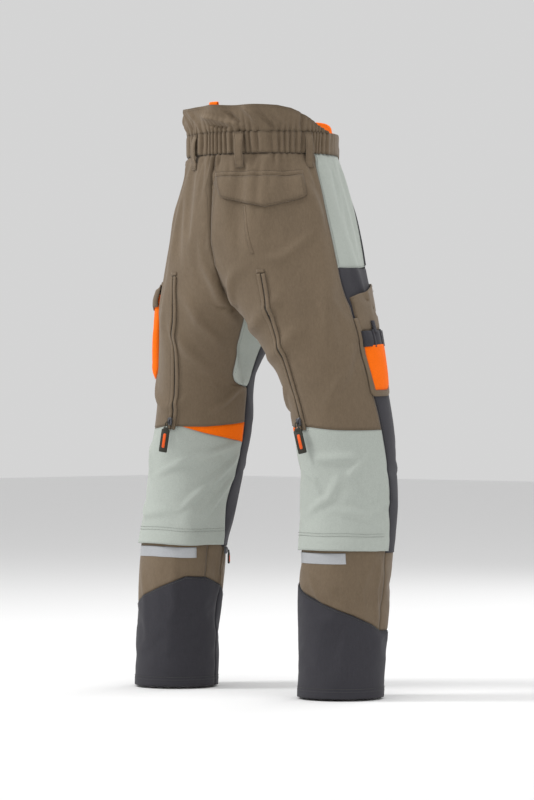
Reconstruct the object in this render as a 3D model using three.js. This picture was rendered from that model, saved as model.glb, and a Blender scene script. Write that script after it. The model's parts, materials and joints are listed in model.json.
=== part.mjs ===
// Protective forestry trousers, hanging by the waist: shell panels, waistband, pockets, zips,
// cut-protection pads and two knees that bend. Millimetres, +Z up, the front faces -Y and the
// wearer's left is +X. Heights are measured up from the hems; the finished group is lowered so that
// its origin is the centre of the waist opening, at the underside of the waistband.

import * as THREE from 'three';

// ---- driving dimensions -------------------------------------------------------------------------

const WAIST_HEIGHT = 1000; // hem to the underside of the waistband
const CROTCH_HEIGHT = 720;
const KNEE_HEIGHT = 430; // knee axis
const WAISTBAND_WIDTH = 40;
const KIDNEY_RISE = 50; // kidney panel above the waistband
const WAIST_HALF_WIDTH = 146;
const WAIST_HALF_DEPTH = 129;
const HEM_SPREAD = 211; // middle of the body to the middle of a hem
const HEM_RADIUS = 77;

const FABRIC = 2; // thickness of one shell layer
const SEAM_GAP = 1; // between panels that lie edge to edge
const LAYER_GAP = 1.2; // between fabric layers that lie one on the other
const PAD_THICKNESS = 4.5;
const PAD_GAP = 2.6; // the pads hang loose inside the shell
const WAISTBAND_THICKNESS = 3;

const KNEE_CUT_RADIUS = HEM_RADIUS + 25; // the shin slides under the thigh on this radius about the knee
const KNEE_CUT_GAP = 8;
const CALF_HEM_HEIGHT = KNEE_HEIGHT - 155;
const KNEE_SEAM_HEIGHT = KNEE_HEIGHT + 65;
const CUFF_PEAK = 216; // the cuff guard is highest at the back
const CUFF_LOW = 126;
const WEDGE_RISE = 13;
const WEDGE_DROP = 25;
const GUSSET_SHARE = 0.6745; // of the inner seam, from the crotch down to the knee wedge
const GUSSET_END_HEIGHT = CROTCH_HEIGHT - (CROTCH_HEIGHT - KNEE_SEAM_HEIGHT - WEDGE_RISE) * GUSSET_SHARE;
const GUSSET_SHOULDER_HEIGHT = GUSSET_END_HEIGHT + 23;
const HIP_PANEL_LOW = CROTCH_HEIGHT + 60;
const HIP_PANEL_HIGH = HIP_PANEL_LOW + 40;

const VENT_TOP = CROTCH_HEIGHT + 56; // height of the upper end of a vent zip
const VENT_BOTTOM = KNEE_SEAM_HEIGHT - 7;
const VENT_TOP_OFFSET = 111; // from the middle of the body, sideways
const VENT_BOTTOM_OFFSET = 170;
const ZIP_TAPE_WIDTH = 12;
const ZIP_TAPE_THICKNESS = 1.2;
const SLIDER_LENGTH = 15;
const SLIDER_WIDTH = 10;
const SLIDER_DEPTH = 6;
const VENT_PULL_LENGTH = 58;
const VENT_PULL_WIDTH = 18;
const SHIN_PULL_LENGTH = 26;
const SHIN_PULL_WIDTH = 10;
const PULL_THICKNESS = 3;
const PART_GAP = 0.6; // between small hard parts
const PULL_GAP = 1.2; // a pull hangs this far in front of its slider

const SHIN_ZIP_ANGLE = 201;
const SHIN_ZIP_TOP = CALF_HEM_HEIGHT - 10;
const SHIN_ZIP_LENGTH = 63;
const FLY_TOP = WAIST_HEIGHT - 15;
const FLY_BOTTOM = FLY_TOP - 135;
const FLY_TAPE_WIDTH = 26;

const FLAP_THICKNESS = 2;
const BACK_FLAP_TOP = WAIST_HEIGHT - 42;
const BACK_FLAP_SIDE = 40; // length of the flap at its sides, and at its point
const BACK_FLAP_POINT = 56;
const BACK_POCKET_DEPTH = 125;
const CARGO_FLAP_TOP = CROTCH_HEIGHT + 48;
const CARGO_FLAP_LENGTH = 46;
const CARGO_POUCH_TOP = CARGO_FLAP_TOP - 23;
const CARGO_POUCH_LENGTH = 155;
const THIGH_POUCH_TOP = CROTCH_HEIGHT - 70; // pouch, band and front of the right thigh pocket
const THIGH_POUCH_LENGTH = 84;
const THIGH_BAND_WIDTH = 24;
const THIGH_POCKET_BACK = 62; // length of the pocket's front piece at its back and front edges
const THIGH_POCKET_FRONT = 89;
const BUTTON_RADIUS = 8.5;

const BELT_LOOP_WIDTH = 16;
const BELT_LOOP_THICKNESS = 1.6;
const BELT_LOOP_STAND_OFF = 8;
const BELT_LOOP_TURNS = { back: 22, side: 75, front: 150 }; // degrees from the centre of the back

// ---- materials ----------------------------------------------------------------------------------

const TWILL = { color: 0x776856, roughness: 0.9, metalness: 0 };
const STRETCH = { color: 0xaab4a8, roughness: 0.85, metalness: 0 };
const CHARCOAL = { color: 0x3f3e43, roughness: 0.9, metalness: 0 };
const ORANGE = { color: 0xf56e10, roughness: 0.75, metalness: 0 };
const STRAP = { color: 0x2b2b26, roughness: 0.7, metalness: 0 };
const PAD = { color: 0xe8e6dc, roughness: 0.95, metalness: 0 };
const METAL = { color: 0x55565a, roughness: 0.4, metalness: 0.8 };

// ---- garment surface ----------------------------------------------------------------------------

const radians = THREE.MathUtils.degToRad;
const lerp = THREE.MathUtils.lerp;

/** Straight-line graph through [input, value] points in rising order. */
function graph(points) {
  return (input) => {
    if (input <= points[0][0]) return points[0][1];
    for (let i = 1; i < points.length; i += 1) {
      const [end, endValue] = points[i];
      const [start, startValue] = points[i - 1];
      if (input <= end) return lerp(startValue, endValue, (input - start) / (end - start));
    }
    return points[points.length - 1][1];
  };
}

/** One horizontal section of a leg, and of one half of the hips above the crotch. */
function section(height, centre, halfWidth, halfDepth, shift) {
  return { height, centre, halfWidth, halfDepth, shift };
}

const thigh = CROTCH_HEIGHT - KNEE_HEIGHT;
const rise = WAIST_HEIGHT - CROTCH_HEIGHT;
const SECTIONS = [
  section(0, HEM_SPREAD, HEM_RADIUS, HEM_RADIUS + 1, 18),
  section(KNEE_HEIGHT * 0.47, HEM_SPREAD, HEM_RADIUS + 3, HEM_RADIUS + 5, 6),
  section(KNEE_HEIGHT * 0.84, HEM_SPREAD - 9, HEM_RADIUS + 7, HEM_RADIUS + 11, -13),
  section(KNEE_HEIGHT + thigh * 0.17, HEM_SPREAD - 29, HEM_RADIUS + 11, HEM_RADIUS + 15, -20),
  section(KNEE_HEIGHT + thigh * 0.59, HEM_SPREAD - 53, 92, 99, -11),
  section(CROTCH_HEIGHT, 112, 112, 120, -3),
  section(CROTCH_HEIGHT + rise * 0.21, 78, 130, 128, 0),
  section(CROTCH_HEIGHT + rise * 0.43, 52, 140, 138, 0),
  section(CROTCH_HEIGHT + rise * 0.66, 28, 150, 140, 0),
  section(CROTCH_HEIGHT + rise * 0.86, 6, 154, 137, 0),
  section(WAIST_HEIGHT, 0, WAIST_HALF_WIDTH, WAIST_HALF_DEPTH, 0),
  section(WAIST_HEIGHT + WAISTBAND_WIDTH, 0, WAIST_HALF_WIDTH, WAIST_HALF_DEPTH, 0),
  section(WAIST_HEIGHT + WAISTBAND_WIDTH + KIDNEY_RISE, 0, WAIST_HALF_WIDTH + 6, WAIST_HALF_DEPTH + 8, 0),
];

/** Slope of a section value at index i, from its neighbours. */
function slope(i, key) {
  const before = SECTIONS[Math.max(i - 1, 0)];
  const after = SECTIONS[Math.min(i + 1, SECTIONS.length - 1)];
  return (after[key] - before[key]) / (after.height - before.height);
}

/** Smooth value of the garment's sections at a height. */
function sectionValue(height, key) {
  let i = 0;
  while (i < SECTIONS.length - 2 && height > SECTIONS[i + 1].height) i += 1;
  const low = SECTIONS[i];
  const high = SECTIONS[i + 1];
  const span = high.height - low.height;
  const t = (height - low.height) / span;
  const blend = t * t * (3 - 2 * t);
  const lowSlope = slope(i, key) * span * t * (1 - t) * (1 - t);
  const highSlope = slope(i + 1, key) * span * t * t * (t - 1);
  return lerp(low[key], high[key], blend) + lowSlope + highSlope;
}

const squareness = graph([[GUSSET_SHOULDER_HEIGHT, 2], [CROTCH_HEIGHT, 3]]);

/** Distance of the leg's centre from the middle of the body; nothing at and above the waist. */
function centreAt(height) {
  return height >= WAIST_HEIGHT ? 0 : Math.max(sectionValue(height, 'centre'), 0);
}

/** Point in plan, degrees from the outer side through the back, on the wearer's left. */
function planPoint(height, angle) {
  const turn = radians(angle);
  const cosine = Math.cos(turn);
  const sine = Math.sin(turn);
  const power = cosine < 0 ? 2 / squareness(height) : 1;
  const across = Math.sign(cosine) * Math.abs(cosine) ** power;
  const along = Math.sign(sine) * Math.abs(sine) ** power;
  const x = centreAt(height) + sectionValue(height, 'halfWidth') * across;
  const y = sectionValue(height, 'shift') + sectionValue(height, 'halfDepth') * along;
  return new THREE.Vector2(x, y);
}

/** Outward direction in plan. */
function planNormal(height, angle) {
  const step = 2;
  const tangent = planPoint(height, angle + step).sub(planPoint(height, angle - step)).normalize();
  return new THREE.Vector2(tangent.y, -tangent.x);
}

/** Point of the garment; lift is the distance outward from the inside of the shell. */
function surfacePoint(side, height, angle, lift) {
  const point = planPoint(height, angle).addScaledVector(planNormal(height, angle), lift);
  const x = Math.max(point.x, SEAM_GAP / 2);
  return new THREE.Vector3(side * x, point.y, height);
}

/** Angle from the outer side at which the surface reaches the middle of the body. */
function middleAngle(height) {
  const reach = (centreAt(height) - SEAM_GAP / 2) / sectionValue(height, 'halfWidth');
  if (reach <= 0) return 90;
  if (reach >= 1) return 180;
  return 180 - THREE.MathUtils.radToDeg(Math.acos(reach ** (squareness(height) / 2)));
}

/** Height at which the surface meets the middle of the body at this angle. */
function middleHeight(angle) {
  let low = CROTCH_HEIGHT - 20;
  let high = WAIST_HEIGHT;
  for (let i = 0; i < 40; i += 1) {
    const middle = (low + high) / 2;
    if (middleAngle(middle) > angle) low = middle;
    else high = middle;
  }
  return low;
}

/** Angle on the back of a leg whose point lies this far from the middle of the body. */
function backAngle(height, offset) {
  const reach = (offset - centreAt(height)) / sectionValue(height, 'halfWidth');
  if (reach >= 0) return THREE.MathUtils.radToDeg(Math.acos(reach));
  return 180 - THREE.MathUtils.radToDeg(Math.acos((-reach) ** (squareness(height) / 2)));
}

// ---- seams --------------------------------------------------------------------------------------

const sideSeam = graph([
  [KNEE_HEIGHT * 0.77, -12], [KNEE_SEAM_HEIGHT, -2], [GUSSET_SHOULDER_HEIGHT, 3],
  [CROTCH_HEIGHT, 3], [HIP_PANEL_LOW, 8], [WAIST_HEIGHT, 8],
]);
const GUSSET_BACK = 165;
const GUSSET_TIP = 190;
const GUSSET_FRONT = 199;
const HIP_PANEL_FRONT = -45;
const WEDGE_TIP = 111;
const WEDGE_BLUNT = 8; // the wedge stops this many degrees short of its tip
const PAD_OUTER = -18;
const PAD_INNER = -150;
const SHIN_SEAM_START = -12;
const SHIN_SEAM_END = 348;

function backInnerSeam(height) {
  const low = graph([[GUSSET_END_HEIGHT, GUSSET_TIP], [GUSSET_SHOULDER_HEIGHT, GUSSET_BACK]]);
  return Math.min(low(height), middleAngle(height));
}

function frontInnerSeam(height) {
  const low = graph([[GUSSET_END_HEIGHT, GUSSET_TIP], [GUSSET_SHOULDER_HEIGHT, GUSSET_FRONT]]);
  return Math.max(low(height) - 360, -middleAngle(height));
}

const frontOuterSeam = (height) => {
  const step = graph([[HIP_PANEL_LOW, 0], [HIP_PANEL_HIGH, 1]])(height);
  return lerp(sideSeam(height), HIP_PANEL_FRONT, step);
};
const hipPanelBottom = graph([[HIP_PANEL_FRONT, HIP_PANEL_HIGH], [sideSeam(HIP_PANEL_LOW), HIP_PANEL_LOW]]);
const gussetBottom = graph([
  [GUSSET_BACK, GUSSET_SHOULDER_HEIGHT], [GUSSET_TIP, GUSSET_END_HEIGHT],
  [GUSSET_FRONT, GUSSET_SHOULDER_HEIGHT],
]);
const gussetTop = (angle) => middleHeight(angle < 180 ? angle : 360 - angle);
const wedgeTop = graph([[WEDGE_TIP, KNEE_SEAM_HEIGHT], [GUSSET_TIP, KNEE_SEAM_HEIGHT + WEDGE_RISE]]);
const wedgeBottom = graph([[WEDGE_TIP, KNEE_SEAM_HEIGHT], [GUSSET_TIP, KNEE_SEAM_HEIGHT - WEDGE_DROP]]);
const cuffRise = (share) => lerp(CUFF_LOW, CUFF_PEAK, share);
const cuffTop = graph([
  [-13, CUFF_LOW], [60, cuffRise(0.47)], [140, CUFF_PEAK], [168, cuffRise(0.98)],
  [209, cuffRise(0.73)], [260, cuffRise(0.02)], [347, CUFF_LOW],
]);

const kneeShift = sectionValue(KNEE_HEIGHT, 'shift');

/** Height of the knee cut: a cylinder about the knee axis, as far down as the leg's depth allows. */
function kneeCut(angle) {
  const wrapped = ((angle % 360) + 360) % 360;
  const depth = (HEM_RADIUS + 12) * Math.sin(radians(wrapped));
  return KNEE_HEIGHT - Math.sqrt(KNEE_CUT_RADIUS ** 2 - depth ** 2);
}
const aboveKneeCut = (angle) => kneeCut(angle) + KNEE_CUT_GAP / 2;
const belowKneeCut = (angle) => kneeCut(angle) - KNEE_CUT_GAP / 2;

// ---- solids -------------------------------------------------------------------------------------

const trousers = new THREE.Group();
trousers.position.z = -WAIST_HEIGHT;

function addMesh(name, geometry, finish) {
  const mesh = new THREE.Mesh(geometry, new THREE.MeshStandardMaterial(finish));
  mesh.name = name;
  trousers.add(mesh);
  return mesh;
}

/** Six times the signed volume of an indexed triangle mesh. */
function signedVolume(points, faces) {
  return faces.reduce((sum, [a, b, c]) => {
    const normal = new THREE.Vector3().crossVectors(points[b], points[c]);
    return sum + points[a].dot(normal);
  }, 0);
}

/** Closed solid between two copies of a grid of points; a ring joins its last column to its first. */
function sheetSolid(columns, rows, point, isRing) {
  const width = isRing ? columns : columns + 1;
  const points = [];
  for (let layer = 0; layer < 2; layer += 1) {
    for (let row = 0; row <= rows; row += 1) {
      for (let column = 0; column < width; column += 1) points.push(point(column / columns, row, layer));
    }
  }
  const index = (column, row, layer) => (layer * (rows + 1) + row) * width + (column % width);
  const faces = [];
  const quad = (a, b, c, d) => faces.push([a, b, c], [a, c, d]);
  for (let column = 0; column < columns; column += 1) {
    for (let row = 0; row < rows; row += 1) {
      const next = column + 1;
      quad(index(column, row, 1), index(next, row, 1), index(next, row + 1, 1), index(column, row + 1, 1));
      quad(index(column, row, 0), index(column, row + 1, 0), index(next, row + 1, 0), index(next, row, 0));
    }
    quad(index(column, 0, 0), index(column + 1, 0, 0), index(column + 1, 0, 1), index(column, 0, 1));
    const [last, next] = [index(column, rows, 0), index(column + 1, rows, 0)];
    quad(last, index(column, rows, 1), index(column + 1, rows, 1), next);
  }
  for (let row = 0; row < rows && !isRing; row += 1) {
    quad(index(0, row, 0), index(0, row, 1), index(0, row + 1, 1), index(0, row + 1, 0));
    const [low, high] = [index(columns, row, 0), index(columns, row + 1, 0)];
    quad(low, high, index(columns, row + 1, 1), index(columns, row, 1));
  }
  if (signedVolume(points, faces) < 0) faces.forEach((face) => face.reverse());
  const geometry = new THREE.BufferGeometry().setFromPoints(points);
  geometry.setIndex(faces.flat());
  geometry.computeVertexNormals();
  return geometry;
}

/**
 * Panel of the garment between two seams. Each row is a height, or a function that gives a height
 * from the angle. from and to give the end angles at a height.
 */
function panelGeometry({ side, rows, from, to, columns, inner = 0, outer = FABRIC, isRing = false }) {
  return sheetSolid(columns, rows.length - 1, (share, row, layer) => {
    let height = typeof rows[row] === 'function' ? KNEE_SEAM_HEIGHT : rows[row];
    let angle = 0;
    for (let pass = 0; pass < 8; pass += 1) {
      angle = lerp(from(height), to(height), share);
      if (typeof rows[row] === 'function') height = rows[row](angle);
    }
    return surfacePoint(side, height, angle, layer === 0 ? inner : outer);
  }, isRing);
}

const always = (value) => () => value;
const shifted = (seam, amount) => (input) => seam(input) + amount;

/** Angle that spans a length on a leg of about the hem's radius. */
const arcAngle = (length) => THREE.MathUtils.radToDeg(length / HEM_RADIUS);
const SEAM_ANGLE = arcAngle(SEAM_GAP);

/** Panel all round the waist; turn is degrees from the centre of the back towards the wearer's left. */
function waistGeometry({ rows, fromTurn, toTurn, columns, inner, outer }) {
  return sheetSolid(columns, rows.length - 1, (share, row, layer) => {
    const turn = lerp(fromTurn, toTurn, share);
    const height = typeof rows[row] === 'function' ? rows[row](turn) : rows[row];
    return waistPoint(height, turn, layer === 0 ? inner : outer);
  }, false);
}

function waistPoint(height, turn, lift) {
  const angle = radians(turn);
  const halfWidth = sectionValue(height, 'halfWidth');
  const halfDepth = sectionValue(height, 'halfDepth');
  const outward = new THREE.Vector2(Math.sin(angle) / halfWidth, Math.cos(angle) / halfDepth).normalize();
  const x = halfWidth * Math.sin(angle) + outward.x * lift;
  const y = halfDepth * Math.cos(angle) + outward.y * lift;
  return new THREE.Vector3(x, y, height);
}

/** Rounded outline centred on the origin. */
function roundedOutline(width, length, radius) {
  const shape = new THREE.Shape();
  const x = width / 2;
  const y = length / 2;
  shape.moveTo(-x + radius, -y);
  shape.lineTo(x - radius, -y);
  shape.absarc(x - radius, -y + radius, radius, -Math.PI / 2, 0);
  shape.lineTo(x, y - radius);
  shape.absarc(x - radius, y - radius, radius, 0, Math.PI / 2);
  shape.lineTo(-x + radius, y);
  shape.absarc(-x + radius, y - radius, radius, Math.PI / 2, Math.PI);
  shape.lineTo(-x, -y + radius);
  shape.absarc(-x + radius, -y + radius, radius, Math.PI, Math.PI * 1.5);
  return shape;
}

/** Plate with rounded corners: width along X, length along Y, thickness centred on Z. */
function plateGeometry(width, length, thickness, radius) {
  const outline = roundedOutline(width, length, radius);
  const plate = new THREE.ExtrudeGeometry(outline, {
    depth: thickness,
    bevelEnabled: false,
    curveSegments: 3,
  });
  plate.translate(0, 0, -thickness / 2);
  return plate;
}

/** Rotation that turns the plate's X, Y and Z onto across, up and outward. */
function facing(outward, up) {
  const z = outward.clone().normalize();
  const y = up.clone().addScaledVector(z, -up.dot(z)).normalize();
  const x = new THREE.Vector3().crossVectors(y, z);
  return new THREE.Quaternion().setFromRotationMatrix(new THREE.Matrix4().makeBasis(x, y, z));
}

// ---- shell panels of each leg -------------------------------------------------------------------

/** Heights that part the way from low to high evenly, without the two ends. */
function between(low, high, count) {
  return Array.from({ length: count }, (_, i) => lerp(low, high, (i + 1) / (count + 1)));
}

const HIP_ROWS = between(HIP_PANEL_HIGH, WAIST_HEIGHT, 4);
const SEAT_ROWS = [
  ...between(GUSSET_SHOULDER_HEIGHT, CROTCH_HEIGHT, 2), CROTCH_HEIGHT,
  ...between(CROTCH_HEIGHT, HIP_PANEL_LOW, 1), HIP_PANEL_LOW, HIP_PANEL_HIGH, ...HIP_ROWS,
];
const THIGH_ROWS = [
  ...between(KNEE_SEAM_HEIGHT + WEDGE_RISE, GUSSET_END_HEIGHT, 2), GUSSET_END_HEIGHT,
  GUSSET_SHOULDER_HEIGHT, ...SEAT_ROWS,
];
const PAD_THIGH_ROWS = THIGH_ROWS.slice(0, 6); // the pads end between the gusset and the crotch
const SHELL_TOP = WAIST_HEIGHT - SEAM_GAP;
const SHIN_TOP_ROWS = [CALF_HEM_HEIGHT + 10, belowKneeCut];
const SHIN_MIDDLE = (CUFF_PEAK + CALF_HEM_HEIGHT) / 2;
const CUFF_ROWS = between(0, CUFF_LOW - SEAM_GAP, 2);
const KNEE_ROWS = [KNEE_HEIGHT - KNEE_CUT_RADIUS / 3, KNEE_HEIGHT + KNEE_CUT_RADIUS / 10];
const GUSSET_ROWS = between(GUSSET_SHOULDER_HEIGHT, CROTCH_HEIGHT, 3);
const WEDGE_ROW = KNEE_SEAM_HEIGHT - WEDGE_DROP / 2;

/** Root pieces of one leg. */
function addThigh(side, name) {
  addMesh(`back_panel_${name}`, panelGeometry({
    side,
    rows: [shifted(wedgeTop, SEAM_GAP / 2), ...THIGH_ROWS, SHELL_TOP],
    from: shifted(sideSeam, SEAM_ANGLE),
    to: shifted(backInnerSeam, 0),
    columns: 14,
  }), TWILL);
  addMesh(`front_panel_${name}`, panelGeometry({
    side,
    rows: [aboveKneeCut, ...KNEE_ROWS, WEDGE_ROW, ...THIGH_ROWS, SHELL_TOP],
    from: frontOuterSeam,
    to: frontInnerSeam,
    columns: 14,
  }), CHARCOAL);
  addMesh(`hip_panel_${name}`, panelGeometry({
    side,
    rows: [shifted(hipPanelBottom, 2 * SEAM_GAP), ...HIP_ROWS, SHELL_TOP],
    from: always(HIP_PANEL_FRONT + SEAM_ANGLE),
    to: (height) => sideSeam(height),
    columns: 5,
  }), STRETCH);
  addMesh(`gusset_${name}`, panelGeometry({
    side,
    rows: [shifted(gussetBottom, 2 * SEAM_GAP), ...GUSSET_ROWS, shifted(gussetTop, -SEAM_GAP)],
    from: always(GUSSET_BACK + SEAM_ANGLE),
    to: always(GUSSET_FRONT - SEAM_ANGLE),
    columns: 6,
  }), STRETCH);
  addMesh(`knee_wedge_${name}`, panelGeometry({
    side,
    rows: [shifted(wedgeBottom, SEAM_GAP / 2), shifted(wedgeTop, -SEAM_GAP / 2)],
    from: always(WEDGE_TIP + WEDGE_BLUNT),
    to: always(GUSSET_TIP - SEAM_ANGLE),
    columns: 6,
  }), ORANGE);
  addMesh(`knee_panel_${name}`, panelGeometry({
    side,
    rows: [aboveKneeCut, ...KNEE_ROWS, shifted(wedgeBottom, -SEAM_GAP / 2)],
    from: shifted(sideSeam, SEAM_ANGLE),
    to: always(GUSSET_TIP - SEAM_ANGLE),
    columns: 14,
  }), STRETCH);
  addMesh(`cut_pad_thigh_${name}`, panelGeometry({
    side,
    rows: [aboveKneeCut, ...KNEE_ROWS, WEDGE_ROW, ...PAD_THIGH_ROWS],
    from: always(PAD_OUTER),
    to: always(PAD_INNER),
    columns: 11,
    inner: -PAD_GAP - PAD_THICKNESS,
    outer: -PAD_GAP,
  }), PAD);
}

/** Shin pieces of one leg. */
function addShin(side, name) {
  const calfLift = FABRIC + LAYER_GAP;
  addMesh(`calf_panel_${name}`, panelGeometry({
    side,
    rows: [CALF_HEM_HEIGHT, ...SHIN_TOP_ROWS],
    from: sideSeam,
    to: always(GUSSET_TIP),
    columns: 14,
    inner: calfLift,
    outer: calfLift + FABRIC,
  }), STRETCH);
  addMesh(`shin_back_${name}`, panelGeometry({
    side,
    rows: [shifted(cuffTop, 2.5 * SEAM_GAP), SHIN_MIDDLE, ...SHIN_TOP_ROWS],
    from: always(SHIN_SEAM_START),
    to: always(SHIN_ZIP_ANGLE - arcAngle(ZIP_TAPE_WIDTH / 4)),
    columns: 15,
  }), TWILL);
  addMesh(`shin_front_${name}`, panelGeometry({
    side,
    rows: [shifted(cuffTop, 2.5 * SEAM_GAP), SHIN_MIDDLE, ...SHIN_TOP_ROWS],
    from: always(SHIN_ZIP_ANGLE + arcAngle(ZIP_TAPE_WIDTH / 4)),
    to: always(SHIN_SEAM_END - 2 * SEAM_ANGLE),
    columns: 11,
  }), TWILL);
  addMesh(`cuff_guard_${name}`, panelGeometry({
    side,
    rows: [0, ...CUFF_ROWS, shifted(cuffTop, -1.5 * SEAM_GAP)],
    from: always(SHIN_SEAM_START - 1),
    to: always(SHIN_SEAM_END - 1),
    columns: 26,
    isRing: true,
  }), CHARCOAL);
  addMesh(`cut_pad_shin_${name}`, panelGeometry({
    side,
    rows: [...CUFF_ROWS, shifted(cuffTop, SEAM_GAP), SHIN_MIDDLE, ...SHIN_TOP_ROWS],
    from: always(PAD_OUTER),
    to: always(PAD_INNER),
    columns: 11,
    inner: -PAD_GAP - PAD_THICKNESS,
    outer: -PAD_GAP,
  }), PAD);
}

// ---- zips ---------------------------------------------------------------------------------------

const sliderLift = ZIP_TAPE_THICKNESS + LAYER_GAP + PART_GAP + SLIDER_DEPTH / 2;

function addSlider(name, centre, orientation) {
  const slider = addMesh(name, plateGeometry(SLIDER_WIDTH, SLIDER_LENGTH, SLIDER_DEPTH, 2.5), METAL);
  slider.position.copy(centre);
  slider.quaternion.copy(orientation);
}

/** Strap that hangs plumb in front of a slider, from its middle. */
function addPull(name, slider, outward, width, length) {
  const pull = addMesh(name, plateGeometry(width, length, PULL_THICKNESS, 3), STRAP);
  const proud = SLIDER_DEPTH / 2 + PULL_GAP + PULL_THICKNESS / 2;
  pull.quaternion.copy(facing(outward, new THREE.Vector3(0, 0, 1)));
  pull.position.copy(slider).addScaledVector(outward, proud);
  pull.position.z -= length / 2;
}

/** Point on the back of a leg, on the line of the vent zip. */
function ventPoint(side, height, sideways, lift) {
  const share = (height - VENT_BOTTOM) / (VENT_TOP - VENT_BOTTOM);
  const offset = lerp(VENT_BOTTOM_OFFSET, VENT_TOP_OFFSET, share) + sideways;
  return surfacePoint(side, height, backAngle(height, offset), lift);
}

// The sliders run straight, over a surface that curves a little.
const VENT_CLEARANCE = 4.2;
const FLY_CLEARANCE = 6.5;

function addVent(side, name) {
  const rows = 12;
  const under = FABRIC + LAYER_GAP;
  addMesh(`vent_zip_tape_${name}`, sheetSolid(2, rows, (share, row, layer) => {
    const height = lerp(VENT_BOTTOM + PART_GAP, VENT_TOP, row / rows);
    const lift = layer === 0 ? under : under + ZIP_TAPE_THICKNESS;
    return ventPoint(side, height, (share - 0.5) * ZIP_TAPE_WIDTH, lift);
  }, false), STRAP);
  const lift = FABRIC + sliderLift + VENT_CLEARANCE;
  const bottom = ventPoint(side, VENT_BOTTOM, 0, lift);
  const top = ventPoint(side, VENT_TOP, 0, lift);
  const along = top.clone().sub(bottom).normalize();
  const start = bottom.addScaledVector(along, SLIDER_LENGTH);
  const outward = new THREE.Vector3(0, 1, 0);
  addSlider(`vent_slider_${name}`, start, facing(outward, along));
  addPull(`vent_pull_${name}`, start, outward, VENT_PULL_WIDTH, VENT_PULL_LENGTH);
}

/** Zip on the inner front of the shin; its tape bridges the gap between the shin panels. */
function addShinZip(side, name) {
  const half = arcAngle(ZIP_TAPE_WIDTH / 2);
  addMesh(`shin_zip_tape_${name}`, panelGeometry({
    side,
    rows: [...between(SHIN_ZIP_TOP - SHIN_ZIP_LENGTH, SHIN_ZIP_TOP, 2), SHIN_ZIP_TOP, CALF_HEM_HEIGHT + 15],
    from: always(SHIN_ZIP_ANGLE - half),
    to: always(SHIN_ZIP_ANGLE + half),
    columns: 2,
    inner: -LAYER_GAP - ZIP_TAPE_THICKNESS,
    outer: -LAYER_GAP,
  }), STRAP);
  const lift = FABRIC + LAYER_GAP + SLIDER_DEPTH / 2;
  const height = SHIN_ZIP_TOP - SLIDER_LENGTH / 2;
  const centre = surfacePoint(side, height, SHIN_ZIP_ANGLE, lift);
  const outward = centre.clone().sub(surfacePoint(side, height, SHIN_ZIP_ANGLE, 0)).normalize();
  const up = new THREE.Vector3(0, 0, 1);
  addSlider(`shin_slider_${name}`, centre, facing(outward, up));
  addPull(`shin_pull_${name}`, centre, outward, SHIN_PULL_WIDTH, SHIN_PULL_LENGTH);
}

/** Point in front of or behind the front seam, on the middle of the body. */
function flyPoint(height, sideways, lift) {
  const reach = (centreAt(height) - SEAM_GAP / 2) / sectionValue(height, 'halfWidth');
  const cosine = reach > 0 ? reach ** (squareness(height) / 2) : 0;
  const sine = Math.sqrt(1 - cosine * cosine) ** (2 / squareness(height));
  return new THREE.Vector3(sideways, -sectionValue(height, 'halfDepth') * sine - lift, height);
}

function addFly() {
  const rows = 5;
  addMesh('fly_zip_tape', sheetSolid(2, rows, (share, row, layer) => {
    const height = lerp(FLY_BOTTOM, FLY_TOP, row / rows);
    const lift = -LAYER_GAP - PART_GAP - layer * ZIP_TAPE_THICKNESS;
    return flyPoint(height, (share - 0.5) * FLY_TAPE_WIDTH, lift);
  }, false), STRAP);
  const lift = FABRIC + LAYER_GAP + FLY_CLEARANCE + SLIDER_DEPTH / 2;
  const top = flyPoint(FLY_TOP - SLIDER_LENGTH, 0, lift);
  const bottom = flyPoint(FLY_BOTTOM + SLIDER_LENGTH, 0, lift);
  addSlider('fly_slider', top, facing(new THREE.Vector3(0, -1, 0), top.clone().sub(bottom)));
}

// ---- waist --------------------------------------------------------------------------------------

const WAISTBAND_TOP = WAIST_HEIGHT + WAISTBAND_WIDTH;
const BACK_BAND_TURN = 104; // the elasticated back of the waistband ends here on each side
const FRONT_END_TURN = 179.6;
const KIDNEY_TURN = 98;
const FACING_TURN = 112;
const FACING_RISE = 26; // a rounded tab stands above the waistband in front
const FACING_TAB_TURN = 34;

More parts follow.
